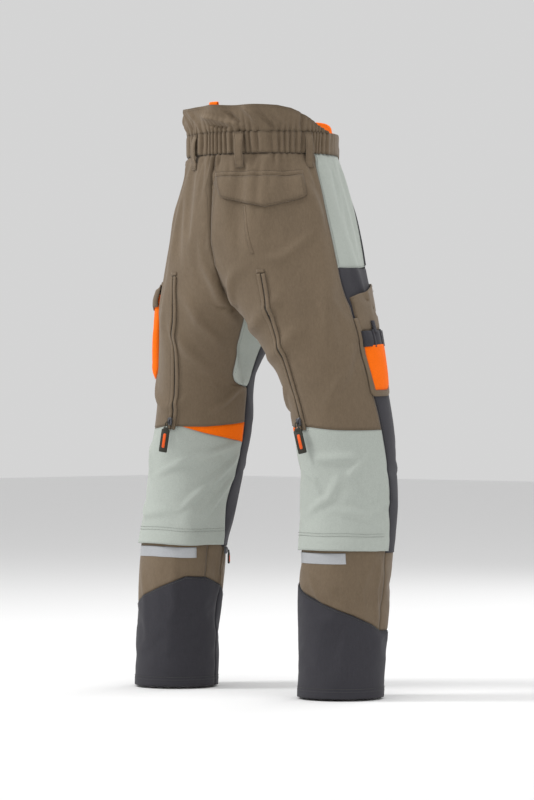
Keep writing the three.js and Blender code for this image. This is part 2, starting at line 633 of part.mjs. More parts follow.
function addWaist() {
  const bandRows = [WAIST_HEIGHT, WAIST_HEIGHT + WAISTBAND_WIDTH / 2, WAISTBAND_TOP];
  const band = { rows: bandRows, inner: 0, outer: WAISTBAND_THICKNESS };
  const joint = SEAM_GAP / 2;
  addMesh('waistband_back', waistGeometry({
    ...band, fromTurn: -BACK_BAND_TURN + joint, toTurn: BACK_BAND_TURN - joint, columns: 20,
  }), TWILL);
  addMesh('waistband_front_left', waistGeometry({
    ...band, fromTurn: BACK_BAND_TURN, toTurn: FRONT_END_TURN, columns: 8,
  }), TWILL);
  addMesh('waistband_front_right', waistGeometry({
    ...band, fromTurn: -FRONT_END_TURN, toTurn: -BACK_BAND_TURN, columns: 8,
  }), TWILL);
  addMesh('waist_elastic', waistGeometry({
    rows: [WAIST_HEIGHT + 4, WAISTBAND_TOP - 4],
    fromTurn: -BACK_BAND_TURN + 4,
    toTurn: BACK_BAND_TURN - 4,
    columns: 20,
    inner: -2 * LAYER_GAP - FABRIC,
    outer: -2 * LAYER_GAP,
  }), PAD);
  const kidneyShare = graph([[0, 1], [0.44, 0.88], [0.69, 0.5], [0.92, 0.18], [1, 0.12]]);
  const kidneyTop = (turn) => WAISTBAND_TOP + KIDNEY_RISE * kidneyShare(Math.abs(turn) / KIDNEY_TURN);
  addMesh('kidney_panel', waistGeometry({
    rows: [WAISTBAND_TOP + SEAM_GAP, WAISTBAND_TOP + 4, kidneyTop],
    fromTurn: -KIDNEY_TURN,
    toTurn: KIDNEY_TURN,
    columns: 20,
    inner: 0,
    outer: WAISTBAND_THICKNESS,
  }), TWILL);
  const facingTop = (turn) => {
    const share = (180 - Math.abs(turn)) / FACING_TAB_TURN;
    return WAISTBAND_TOP + FACING_RISE * Math.sqrt(Math.max(1 - share ** 4, 0.003));
  };
  addMesh('waist_facing', waistGeometry({
    rows: [WAIST_HEIGHT + 4, WAISTBAND_TOP, facingTop],
    fromTurn: -FRONT_END_TURN + 2,
    toTurn: -FACING_TURN,
    columns: 12,
    inner: -LAYER_GAP - FABRIC,
    outer: -LAYER_GAP,
  }), ORANGE);
}

/** Belt loop: a strap whose ends lie on the waistband and on the panel below it. */
function addBeltLoop(name, turn) {
  const low = WAIST_HEIGHT - 25;
  const high = WAISTBAND_TOP - 2;
  const foot = 9;
  const origin = waistPoint(WAIST_HEIGHT, turn, 0);
  const outward = waistPoint(WAIST_HEIGHT, turn, 1).sub(origin);
  const onShell = (height, lift) => {
    const point = height < WAIST_HEIGHT ? loopPanelPoint(height, turn) : waistPoint(height, turn, 0);
    return new THREE.Vector2(point.sub(origin).setZ(0).dot(outward) + lift, height);
  };
  const rest = WAISTBAND_THICKNESS + PART_GAP;
  const proud = onShell(WAIST_HEIGHT, WAISTBAND_THICKNESS + BELT_LOOP_STAND_OFF).x;
  const lowest = onShell(low, FABRIC + 2 * PART_GAP);
  const lower = onShell(low + foot, FABRIC + 2 * PART_GAP);
  const inside = [
    lowest,
    lower,
    new THREE.Vector2(Math.max(proud, lower.x + 2), low + foot + 8),
    new THREE.Vector2(proud, high - foot - 4),
    onShell(high - foot + 2, rest),
    onShell(high, rest),
  ];
  const outside = inside.map((point) => new THREE.Vector2(point.x + BELT_LOOP_THICKNESS * 1.4, point.y));
  const outline = new THREE.Shape([...inside, ...outside.reverse()]);
  const strap = new THREE.ExtrudeGeometry(outline, { depth: BELT_LOOP_WIDTH, bevelEnabled: false });
  strap.translate(0, 0, -BELT_LOOP_WIDTH / 2);
  const loop = addMesh(name, strap, TWILL);
  const up = new THREE.Vector3(0, 0, 1);
  const across = new THREE.Vector3().crossVectors(outward, up);
  loop.quaternion.setFromRotationMatrix(new THREE.Matrix4().makeBasis(outward, up, across));
  loop.position.set(origin.x, origin.y, 0);
}

/** Point on the shell below the waistband, at a turn about the middle of the body. */
function loopPanelPoint(height, turn) {
  const side = turn < 0 ? -1 : 1;
  const wanted = waistPoint(WAIST_HEIGHT, Math.abs(turn), 0);
  let best = new THREE.Vector3();
  let nearest = Infinity;
  for (let angle = -90; angle <= 90; angle += 0.5) {
    const point = surfacePoint(1, height, angle, 0);
    const cross = Math.abs(point.x * wanted.y - point.y * wanted.x);
    if (point.dot(new THREE.Vector3(wanted.x, wanted.y, 0)) > 0 && cross < nearest) {
      nearest = cross;
      best = point;
    }
  }
  best.x *= side;
  return best;
}

function addBeltLoops() {
  for (const [place, turn] of Object.entries(BELT_LOOP_TURNS)) {
    addBeltLoop(`belt_loop_${place}_left`, turn);
    addBeltLoop(`belt_loop_${place}_right`, -turn);
  }
}

function addHanger() {
  const width = 14;
  const height = 22;
  const back = waistPoint(WAISTBAND_TOP + KIDNEY_RISE, 0, 0);
  const tab = addMesh('hanger_tab', plateGeometry(width, height, FABRIC, 2), ORANGE);
  tab.quaternion.copy(facing(new THREE.Vector3(0, 1, 0), new THREE.Vector3(0, 0, 1)));
  tab.position.set(0, back.y - FABRIC / 2 - LAYER_GAP - 3, WAISTBAND_TOP + KIDNEY_RISE - height / 2 + 6);
}

function addButton() {
  const turn = FRONT_END_TURN - 5;
  const centre = waistPoint(WAIST_HEIGHT + WAISTBAND_WIDTH / 2, turn, WAISTBAND_THICKNESS + PART_GAP + 1.5);
  const rim = BUTTON_RADIUS - 2;
  const profile = [[0, -1.5], [BUTTON_RADIUS, -1.5], [BUTTON_RADIUS, 0.5], [rim, 1.5], [0, 1.5]];
  const outline = profile.map(([radius, height]) => new THREE.Vector2(radius, height));
  const button = addMesh('waist_button', new THREE.LatheGeometry(outline, 20), METAL);
  const outward = centre.clone().setZ(0).sub(waistPoint(0, turn, 0).setZ(0));
  button.quaternion.setFromUnitVectors(new THREE.Vector3(0, 1, 0), outward.normalize());
  button.position.copy(centre);
}

// ---- pockets ------------------------------------------------------------------------------------

const POCKET_BACK = 1; // angles of the right thigh pocket's back and front edges
const POCKET_FRONT = -46;
const CARGO_BACK = 36; // the left cargo pocket lies over the side seam
const CARGO_FRONT = -16;
const pocketLift = FABRIC + LAYER_GAP;
const POCKET_THICKNESS = 3;
const CARGO_THICKNESS = 6;
const POUCH_THICKNESS = 5;

function addPocketLayer(name, rows, thickness, finish) {
  addMesh(name, panelGeometry({
    side: -1,
    rows,
    from: always(POCKET_FRONT),
    to: always(POCKET_BACK),
    columns: 5,
    inner: pocketLift,
    outer: pocketLift + thickness,
  }), finish);
}

function addThighPocket() {
  const bandFoot = THIGH_POUCH_TOP + SEAM_GAP;
  const bandTop = bandFoot + THIGH_BAND_WIDTH;
  const pocketFoot = bandTop + SEAM_GAP;
  const mouth = graph([
    [POCKET_FRONT, pocketFoot + THIGH_POCKET_FRONT], [POCKET_BACK, pocketFoot + THIGH_POCKET_BACK],
  ]);
  const pouchFoot = THIGH_POUCH_TOP - THIGH_POUCH_LENGTH;
  const pouchRows = [pouchFoot, ...between(pouchFoot, THIGH_POUCH_TOP, 2), THIGH_POUCH_TOP];
  const frontRows = [pocketFoot, pocketFoot + THIGH_POCKET_BACK / 2, mouth];
  addPocketLayer('pocket_front_right', frontRows, POCKET_THICKNESS, TWILL);
  addPocketLayer('pocket_band_right', [bandFoot, bandTop], POCKET_THICKNESS, CHARCOAL);
  addPocketLayer('pouch_right', pouchRows, POUCH_THICKNESS, ORANGE);
}

function addCargoPocket() {
  const foot = CARGO_POUCH_TOP - CARGO_POUCH_LENGTH;
  addMesh('cargo_pouch_left', panelGeometry({
    side: 1,
    rows: [foot, ...between(foot, CARGO_POUCH_TOP, 4), CARGO_POUCH_TOP],
    from: always(CARGO_FRONT),
    to: always(CARGO_BACK),
    columns: 6,
    inner: pocketLift,
    outer: pocketLift + CARGO_THICKNESS,
  }), ORANGE);
  const flapLift = pocketLift + CARGO_THICKNESS + LAYER_GAP;
  addMesh('cargo_flap_left', panelGeometry({
    side: 1,
    rows: [CARGO_FLAP_TOP - CARGO_FLAP_LENGTH, CARGO_FLAP_TOP - 10, CARGO_FLAP_TOP],
    from: always(CARGO_FRONT - SEAM_ANGLE),
    to: always(CARGO_BACK + SEAM_ANGLE),
    columns: 6,
    inner: flapLift,
    outer: flapLift + FLAP_THICKNESS,
  }), TWILL);
}

const FLAP_START = 24; // angles of the back pocket flap's sides
const FLAP_END = 88;
const BAG_MARGIN = 4;

function addBackPocket() {
  const side = BACK_FLAP_TOP - BACK_FLAP_SIDE;
  const point = BACK_FLAP_TOP - BACK_FLAP_POINT;
  const flapBottom = graph([[FLAP_START, side], [(FLAP_START + FLAP_END) / 2, point], [FLAP_END, side]]);
  const bagTop = BACK_FLAP_TOP - 13;
  const bagFoot = bagTop - BACK_POCKET_DEPTH;
  addMesh('back_pocket_bag', panelGeometry({
    side: -1,
    rows: [bagFoot, ...between(bagFoot, bagTop, 2), bagTop],
    from: always(FLAP_START + BAG_MARGIN),
    to: always(FLAP_END - BAG_MARGIN),
    columns: 6,
    inner: -LAYER_GAP - FABRIC,
    outer: -LAYER_GAP,
  }), CHARCOAL);
  addMesh('back_pocket_flap', panelGeometry({
    side: -1,
    rows: [flapBottom, (side + BACK_FLAP_TOP) / 2, BACK_FLAP_TOP],
    from: always(FLAP_START),
    to: always(FLAP_END),
    columns: 8,
    inner: FABRIC + 1.8 * LAYER_GAP,
    outer: FABRIC + 1.8 * LAYER_GAP + FLAP_THICKNESS,
  }), TWILL);
}

// ---- the garment --------------------------------------------------------------------------------

for (const [side, name] of [[1, 'left'], [-1, 'right']]) {
  addThigh(side, name);
  addShin(side, name);
  addVent(side, name);
  addShinZip(side, name);
}
addFly();
addWaist();
addBeltLoops();
addHanger();
addButton();
addThighPocket();
addCargoPocket();
addBackPocket();

export default trousers;
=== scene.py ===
"""Protective forestry trousers, hanging by the waist: cloth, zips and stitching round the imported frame.

Lengths are metres. Heights are measured up from the hems; an angle on a leg is in degrees from the
outer side, through the back to the inner side. A turn is in degrees about the body from the centre
of the back, towards the wearer's left. Side is 1 on the wearer's left and -1 on the right.
"""
import json
import math

import bpy
import numpy as np
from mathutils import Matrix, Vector


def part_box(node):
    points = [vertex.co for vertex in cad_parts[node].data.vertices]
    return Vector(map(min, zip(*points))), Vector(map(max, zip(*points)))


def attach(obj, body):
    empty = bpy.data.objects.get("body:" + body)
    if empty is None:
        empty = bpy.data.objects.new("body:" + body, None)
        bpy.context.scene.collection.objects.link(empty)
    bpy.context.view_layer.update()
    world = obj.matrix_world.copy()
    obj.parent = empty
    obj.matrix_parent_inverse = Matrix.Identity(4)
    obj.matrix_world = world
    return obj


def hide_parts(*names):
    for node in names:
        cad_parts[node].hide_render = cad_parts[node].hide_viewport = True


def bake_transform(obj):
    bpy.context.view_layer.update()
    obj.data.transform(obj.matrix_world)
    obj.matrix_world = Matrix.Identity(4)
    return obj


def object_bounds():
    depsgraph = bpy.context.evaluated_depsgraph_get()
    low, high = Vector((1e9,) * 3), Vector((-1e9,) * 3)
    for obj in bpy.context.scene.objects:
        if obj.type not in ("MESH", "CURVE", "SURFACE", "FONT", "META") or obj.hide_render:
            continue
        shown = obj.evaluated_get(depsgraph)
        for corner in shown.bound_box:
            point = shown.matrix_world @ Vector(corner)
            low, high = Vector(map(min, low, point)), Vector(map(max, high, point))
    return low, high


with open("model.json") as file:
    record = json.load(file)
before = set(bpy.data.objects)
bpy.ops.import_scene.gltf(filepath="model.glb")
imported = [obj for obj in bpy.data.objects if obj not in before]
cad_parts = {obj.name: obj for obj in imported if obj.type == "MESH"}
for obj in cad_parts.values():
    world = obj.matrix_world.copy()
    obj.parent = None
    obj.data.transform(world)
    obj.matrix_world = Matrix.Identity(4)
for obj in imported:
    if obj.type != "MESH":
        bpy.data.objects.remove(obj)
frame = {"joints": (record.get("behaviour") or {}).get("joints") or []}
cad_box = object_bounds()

SIDES = ((1, "left"), (-1, "right"))
WAIST = -cad_box[0].z
BAND_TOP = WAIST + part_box("waistband_back")[1].z
KIDNEY_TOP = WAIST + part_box("kidney_panel")[1].z
JOINTS = {joint["name"]: joint for joint in frame["joints"]}
KNEE = WAIST + JOINTS["knee_left"]["pos_m"][2]
CROTCH = 0.72
HEM_SPREAD = 0.211
HEM_RADIUS = 0.077
CALF_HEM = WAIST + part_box("calf_panel_left")[0].z
GUSSET_END = 0.577
GUSSET_SHOULDER = 0.600
YOKE_SEAM = 0.795
KNEE_SEAM = 0.495
SHIN_TOP = 0.330
FABRIC = 0.0018


# ---- camera, light and floor ---------------------------------------------------------------------

VIEW_AZIMUTH, VIEW_DISTANCE, VIEW_HEIGHT = 223, 6.8, 1.505
WORLD_LIGHT, FLOOR_TONE, FLOOR_GAP = 0.66, 0.86, 0.004

def look_at(position, target):
    return (Vector(target) - Vector(position)).to_track_quat("-Z", "Y")


def make_camera():
    azimuth = math.radians(VIEW_AZIMUTH)
    back = Vector((math.sin(azimuth), -math.cos(azimuth), 0))
    data = bpy.data.cameras.new("camera")
    data.sensor_width = 36
    data.lens = data.sensor_width / VIEW_HEIGHT * VIEW_DISTANCE
    camera = bpy.data.objects.new("camera", data)
    bpy.context.scene.collection.objects.link(camera)
    camera.rotation_mode = "QUATERNION"
    sideways = back.cross(Vector((0, 0, 1))).normalized()
    aim = Vector((0, 0, -0.456)) - sideways * 0.007
    camera.location = aim + back * VIEW_DISTANCE
    camera.rotation_quaternion = look_at(camera.location, aim)
    bpy.context.scene.camera = camera


def add_light(name, position, target, size, power):
    data = bpy.data.lights.new(name, "AREA")
    data.energy = power
    data.size = size
    light = bpy.data.objects.new(name, data)
    light.location = position
    light.rotation_mode = "QUATERNION"
    light.rotation_quaternion = look_at(position, target)
    bpy.context.scene.collection.objects.link(light)


def make_studio():
    middle = (0, 0, -0.45)
    add_light("key", (2.6, 2.6, 2.6), middle, 1.1, 118)
    add_light("fill", (-3.8, 0.4, 0.6), middle, 2.4, 16)
    add_light("front", (0.4, -3.6, 1.4), middle, 2.6, 40)
    add_light("top", (-0.4, 0.3, 3.0), middle, 1.6, 34)
    world = bpy.data.worlds.new("studio")
    world.use_nodes = True
    background = world.node_tree.nodes["Background"]
    background.inputs["Color"].default_value = (1, 1, 1, 1)
    background.inputs["Strength"].default_value = WORLD_LIGHT
    bpy.context.scene.world = world
    bpy.context.scene.view_settings.view_transform = "Standard"
    floor = bpy.data.meshes.new("floor")
    reach, level = 14.0, -WAIST - FLOOR_GAP
    corners = [(reach * x, reach * y, level) for x, y in ((-1, -1), (1, -1), (1, 1), (-1, 1))]
    floor.from_pydata(corners, [], [(0, 1, 2, 3)])
    plane = bpy.data.objects.new("floor", floor)
    bpy.context.scene.collection.objects.link(plane)
    material = bpy.data.materials.new("floor")
    material.use_nodes = True
    shader = material.node_tree.nodes["Principled BSDF"]
    shader.inputs["Base Color"].default_value = (FLOOR_TONE, FLOOR_TONE, FLOOR_TONE, 1)
    shader.inputs["Roughness"].default_value = 0.9
    floor.materials.append(material)


# ---- materials -----------------------------------------------------------------------------------

def linear(red, green, blue):
    """Linear colour from eight-bit screen values."""
    def convert(value):
        value /= 255
        return value / 12.92 if value <= 0.04045 else ((value + 0.055) / 1.055) ** 2.4
    return (convert(red), convert(green), convert(blue))


class Shader:
    """Small helper for building a node material."""

    def __init__(self, name, roughness, metallic=0.0, sheen=0.0, specular=0.3):
        self.material = bpy.data.materials.new(name)
        self.material.use_nodes = True
        self.tree = self.material.node_tree
        self.shader = self.tree.nodes["Principled BSDF"]
        self.shader.inputs["Roughness"].default_value = roughness
        self.shader.inputs["Metallic"].default_value = metallic
        self.shader.inputs["Sheen Weight"].default_value = sheen
        self.shader.inputs["Sheen Roughness"].default_value = 0.5
        self.shader.inputs["Specular IOR Level"].default_value = specular
        self.place = self.tree.nodes.new("ShaderNodeTexCoord").outputs["Object"]

    def node(self, kind, values=(), **links):
        made = self.tree.nodes.new(kind)
        for key, value in dict(values).items():
            if key in made.inputs:
                made.inputs[key].default_value = value
            else:
                setattr(made, key, value)
        for key, source in links.items():
            self.tree.links.new(source, made.inputs[key])
        return made

    def noise(self, scale, detail=3.0, stretch=None):
        vector = self.place
        if stretch:
            mapping = self.node("ShaderNodeMapping", Vector=vector)
            mapping.inputs["Scale"].default_value = stretch
            vector = mapping.outputs["Vector"]
        made = self.node("ShaderNodeTexNoise", {"Scale": scale, "Detail": detail}, Vector=vector)
        return made.outputs["Fac"]

    def ramp(self, factor, low, high, start=0.3, end=0.7):
        made = self.node("ShaderNodeValToRGB", Fac=factor)
        made.color_ramp.elements[0].position = start
        made.color_ramp.elements[0].color = (*low, 1)
        made.color_ramp.elements[1].position = end
        made.color_ramp.elements[1].color = (*high, 1)
        return made.outputs["Color"]

    def multiply(self, first, second):
        made = self.tree.nodes.new("ShaderNodeMix")
        made.data_type = "RGBA"
        made.blend_type = "MULTIPLY"
        made.inputs[0].default_value = 1.0
        self.tree.links.new(first, made.inputs[6])
        self.tree.links.new(second, made.inputs[7])
        return made.outputs[2]

    def add(self, first, second, share):
        made = self.node("ShaderNodeMath", {"operation": "MULTIPLY_ADD"})
        self.tree.links.new(second, made.inputs[0])
        made.inputs[1].default_value = share
        self.tree.links.new(first, made.inputs[2])
        return made.outputs[0]

    def colour(self, socket):
        self.tree.links.new(socket, self.shader.inputs["Base Color"])

    def bump(self, height, depth):
        made = self.node("ShaderNodeBump", {"Strength": 1.0, "Distance": depth}, Height=height)
        self.tree.links.new(made.outputs["Normal"], self.shader.inputs["Normal"])

    def roughness_from(self, factor, low, high):
        made = self.node("ShaderNodeMapRange", {"To Min": low, "To Max": high}, Value=factor)
        self.tree.links.new(made.outputs["Result"], self.shader.inputs["Roughness"])


def scaled(colour, amount):
    return tuple(min(channel * amount, 1.0) for channel in colour)


def cloth_material(name, colour, weave, contrast, sheen, edge=0.75, relief=0.00022):
    """Woven cloth: thread bands, mottled dye, and painted shade that darkens the colour in the seam grooves.
    """
    made = Shader(name, 0.88, sheen=sheen, specular=0.2)
    mottle = made.noise(9.0, 5.0)
    base = made.ramp(mottle, scaled(colour, 1 - contrast), scaled(colour, 1 + contrast), 0.25, 0.75)
    slub = made.noise(260.0, 2.0, (1.0, 1.0, 0.25))
    base = made.multiply(base, made.ramp(slub, (1 - contrast,) * 3, (1 + contrast * 0.6,) * 3))
    if weave == "twill":
        threads = made.noise(420.0, 2.0, (1.6, 1.6, 0.5))
        cross = made.noise(1100.0, 1.0)
    elif weave == "stretch":
        threads = made.noise(900.0, 1.0, (1.0, 1.0, 0.5))
        cross = made.noise(1500.0, 1.0)
    else:
        threads = made.noise(600.0, 2.0, (2.0, 2.0, 0.6))
        cross = made.noise(600.0, 2.0, (0.6, 0.6, 2.0))
    height = made.add(threads, cross, 0.7)
    base = made.multiply(base, made.ramp(height, (0.88,) * 3, (1.08,) * 3, 0.5, 1.2))
    # Painted shade: the "seam" attribute darkens the colour towards each seam, down to the share edge.
    seam = made.tree.nodes.new("ShaderNodeAttribute")
    seam.attribute_name = "seam"
    base = made.multiply(base, made.ramp(seam.outputs["Fac"], (1.0,) * 3, (edge,) * 3, 0.0, 1.0))
    made.colour(base)
    made.roughness_from(mottle, 0.80, 0.95)
    made.bump(height, relief)
    return made.material


def plain_material(name, colour, roughness, metallic=0.0, grain=900.0, relief=0.0001, contrast=0.12):
    made = Shader(name, roughness, metallic=metallic, specular=0.4)
    factor = made.noise(grain, 3.0)
    made.colour(made.ramp(factor, scaled(colour, 1 - contrast), scaled(colour, 1 + contrast)))
    made.roughness_from(made.noise(60.0), max(roughness - 0.12, 0.05), min(roughness + 0.12, 1.0))
    made.bump(factor, relief)
    return made.material


# Each look is a material and the name of a slot in the table.
# For a cloth, the number after its sheen is the painted shade in its seams: the share of colour left there.
TWILL = cloth_material("twill", linear(113, 98, 80), "twill", 0.06, 0.12), "twill"
STRETCH = (cloth_material("stretch", linear(171, 177, 170), "stretch", 0.02, 0.08, 0.82, 0.00012),
           "stretch_fabric")
CHARCOAL = cloth_material("charcoal", linear(57, 56, 61), "plain", 0.05, 0.08, 0.7), "charcoal_fabric"
ORANGE = cloth_material("orange", linear(255, 112, 0), "plain", 0.03, 0.03, 0.8), "orange_fabric"
LINING = cloth_material("lining", linear(92, 84, 74), "plain", 0.05, 0.05)
PADDING = cloth_material("padding", linear(225, 222, 208), "plain", 0.05, 0.2, 0.9, 0.0006), "padding"
TAPE = cloth_material("tape", linear(52, 48, 42), "plain", 0.05, 0.05, 0.8), "zip_tape"
THREAD = plain_material("thread", linear(96, 84, 70), 0.7), "twill"
DARK_THREAD = plain_material("dark_thread", linear(92, 94, 88), 0.7)
COIL = plain_material("coil", linear(40, 38, 35), 0.35), "zip_tape"
STRAP = plain_material("strap", linear(44, 43, 34), 0.55, grain=1500.0), "pull_strap"
STRIPE = plain_material("stripe", linear(238, 92, 16), 0.5), "orange_fabric"
METAL = plain_material("metal", linear(96, 96, 99), 0.32, 0.85), "zip_metal"
SILVER = plain_material("silver", linear(176, 178, 181), 0.42, 0.25, grain=1200.0), None
BAG, ELASTIC = (LINING, "charcoal_fabric"), (LINING, "padding")
CHARCOAL_THREAD, STRETCH_THREAD = (DARK_THREAD, "charcoal_fabric"), (DARK_THREAD, "stretch_fabric")


# ---- garment surface -----------------------------------------------------------------------------

THIGH = CROTCH - KNEE
RISE = WAIST - CROTCH
WAIST_HALF_WIDTH = 0.146
WAIST_HALF_DEPTH = 0.129
SECTIONS = np.array([  # height, centre, half width, half depth, shift
    (0, HEM_SPREAD, HEM_RADIUS, HEM_RADIUS + 0.001, 0.018),
    (KNEE * 0.47, HEM_SPREAD, 0.080, 0.082, 0.006),
    (KNEE * 0.84, HEM_SPREAD - 0.009, 0.084, 0.088, -0.013),
    (KNEE + THIGH * 0.17, HEM_SPREAD - 0.029, 0.088, 0.092, -0.020),
    (KNEE + THIGH * 0.59, HEM_SPREAD - 0.053, 0.092, 0.099, -0.011),
    (CROTCH, 0.112, 0.112, 0.120, -0.003),
    (CROTCH + RISE * 0.21, 0.078, 0.130, 0.128, 0),
    (CROTCH + RISE * 0.43, 0.052, 0.140, 0.138, 0),
    (CROTCH + RISE * 0.66, 0.028, 0.150, 0.140, 0),
    (CROTCH + RISE * 0.86, 0.006, 0.154, 0.137, 0),
    (WAIST, 0, WAIST_HALF_WIDTH, WAIST_HALF_DEPTH, 0),
    (BAND_TOP, 0, WAIST_HALF_WIDTH, WAIST_HALF_DEPTH, 0),
    (KIDNEY_TOP, 0, WAIST_HALF_WIDTH + 0.006, WAIST_HALF_DEPTH + 0.008, 0),
])
CENTRE, HALF_WIDTH, HALF_DEPTH, SHIFT = 1, 2, 3, 4


def section(height, column):
    """Smooth value of the garment's sections at each height."""
    heights, values = SECTIONS[:, 0], SECTIONS[:, column]
    last = len(heights) - 1
    before, after = np.maximum(np.arange(last + 1) - 1, 0), np.minimum(np.arange(last + 1) + 1, last)
    slopes = (values[after] - values[before]) / (heights[after] - heights[before])
    i = np.clip(np.searchsorted(heights, height, side="left") - 1, 0, last - 1)
    span = heights[i + 1] - heights[i]
    t = (height - heights[i]) / span
    blend = t * t * (3 - 2 * t)
    return (values[i] * (1 - blend) + values[i + 1] * blend
            + slopes[i] * span * t * (1 - t) ** 2 + slopes[i + 1] * span * t * t * (t - 1))


def squareness(height):
    return np.interp(height, [GUSSET_SHOULDER, CROTCH], [2, 3])


def centre(height):
    return np.where(height >= WAIST, 0, np.maximum(section(height, CENTRE), 0))


def plan_point(height, angle):
    """Point in plan on the wearer's left leg."""
    cosine, sine = np.cos(np.radians(angle)), np.sin(np.radians(angle))
    power = np.where(cosine < 0, 2 / squareness(height), 1)
    x = centre(height) + section(height, HALF_WIDTH) * np.sign(cosine) * np.abs(cosine) ** power
    y = section(height, SHIFT) + section(height, HALF_DEPTH) * np.sign(sine) * np.abs(sine) ** power
    return x, y


def middle_angle(height):
    """Angle at which the surface reaches the middle of the body; 180 below the crotch."""
    reach = np.clip(centre(height) / section(height, HALF_WIDTH), 0, 1)
    return 180 - np.degrees(np.arccos(reach ** (squareness(height) / 2)))


def back_angle(height, offset):
    """Angle on the back of a leg whose point lies this far from the middle of the body."""
    reach = (offset - centre(height)) / section(height, HALF_WIDTH)
    inner = 180 - np.degrees(np.arccos(np.clip(-reach, 0, 1) ** (squareness(height) / 2)))
    return np.where(reach >= 0, np.degrees(np.arccos(np.clip(reach, 0, 1))), inner)


def graph(*points):
    """Straight-line graph through (input, value) points."""
    inputs, values = zip(*points)
    return lambda given: np.interp(given, inputs, values)


def as_seam(edge):
    """A seam is a function; a plain number stands for a level or upright one."""
    return edge if callable(edge) else lambda given: np.full(np.shape(given), float(edge))


def shifted(seam, amount):
    return lambda given: seam(given) + amount


side_seam = graph((KNEE * 0.77, -12), (KNEE_SEAM, -2), (GUSSET_SHOULDER, 3), (CROTCH, 3), (0.78, 8),
                  (WAIST, 8))
GUSSET_BACK, GUSSET_TIP, GUSSET_FRONT = 165, 190, 199
HIP_FRONT = -40
WEDGE_TIP = 111
hip_bottom = graph((HIP_FRONT, YOKE_SEAM + 0.002), (8, YOKE_SEAM - 0.002))
GUSSET_FOOT = ((GUSSET_BACK, GUSSET_SHOULDER), (168, 0.589), (173, 0.581), (180, GUSSET_END + 0.001),
               (GUSSET_TIP, GUSSET_END))
gusset_bottom = graph(*GUSSET_FOOT, (195, 0.584), (GUSSET_FRONT, GUSSET_SHOULDER))
gusset_edge = graph(*[(height, angle) for angle, height in GUSSET_FOOT[::-1]])
wedge_top = graph((WEDGE_TIP, KNEE_SEAM), (GUSSET_TIP, KNEE_SEAM + 0.013))
wedge_bottom = graph((WEDGE_TIP, KNEE_SEAM), (GUSSET_TIP, KNEE_SEAM - 0.025))
cuff_edge = graph((-13, 0.126), (60, 0.168), (140, 0.216), (168, 0.214), (209, 0.192), (260, 0.128),
                  (347, 0.126))


def cuff_top(angle):
    return cuff_edge((angle + 13) % 360 - 13)


def back_inner_seam(height):
    low = gusset_edge(height)
    return np.where(height < CROTCH, low, np.minimum(low, middle_angle(height)))


def front_inner_seam(height):
    low = np.interp(height, [GUSSET_END, GUSSET_SHOULDER], [GUSSET_TIP, GUSSET_FRONT])
    return np.maximum(low - 360, -middle_angle(height))


def gusset_top(angle):
    heights = np.linspace(CROTCH, 0.80, 200)
    reach = np.where(angle < 180, angle, 360 - angle)
    return np.interp(-reach, -middle_angle(heights), heights)


# ---- listed folds --------------------------------------------------------------------------------

def unpack(fold):
    """Points, half width and rise of a fold's row."""
    return list(zip(fold[0:6:2], fold[1:6:2])), fold[6] / 1000, fold[7] / 1000


def ridge(height, angle, points, width, amount):
    """Rounded fold along a line of (height, angle) points; it fades out at both ends."""
    scale = 0.0016  # metres of cloth per degree
    place = np.stack([height, angle * scale], -1)
    total = np.zeros(np.shape(height))
    count = len(points) - 1
    for i, (start, end) in enumerate(zip(points, points[1:])):
        a = np.array([start[0], start[1] * scale])
        b = np.array([end[0], end[1] * scale])
        along = np.clip(((place - a) @ (b - a)) / ((b - a) @ (b - a)), 0, 1)
        distance = np.linalg.norm(place - (a + along[..., None] * (b - a)), axis=-1)
        taper = np.sin(np.pi * np.clip((i + along) / count, 0.02, 0.98)) ** 0.7
        total = np.maximum(total, np.exp(-(distance / width) ** 2) * taper)
    return amount * total


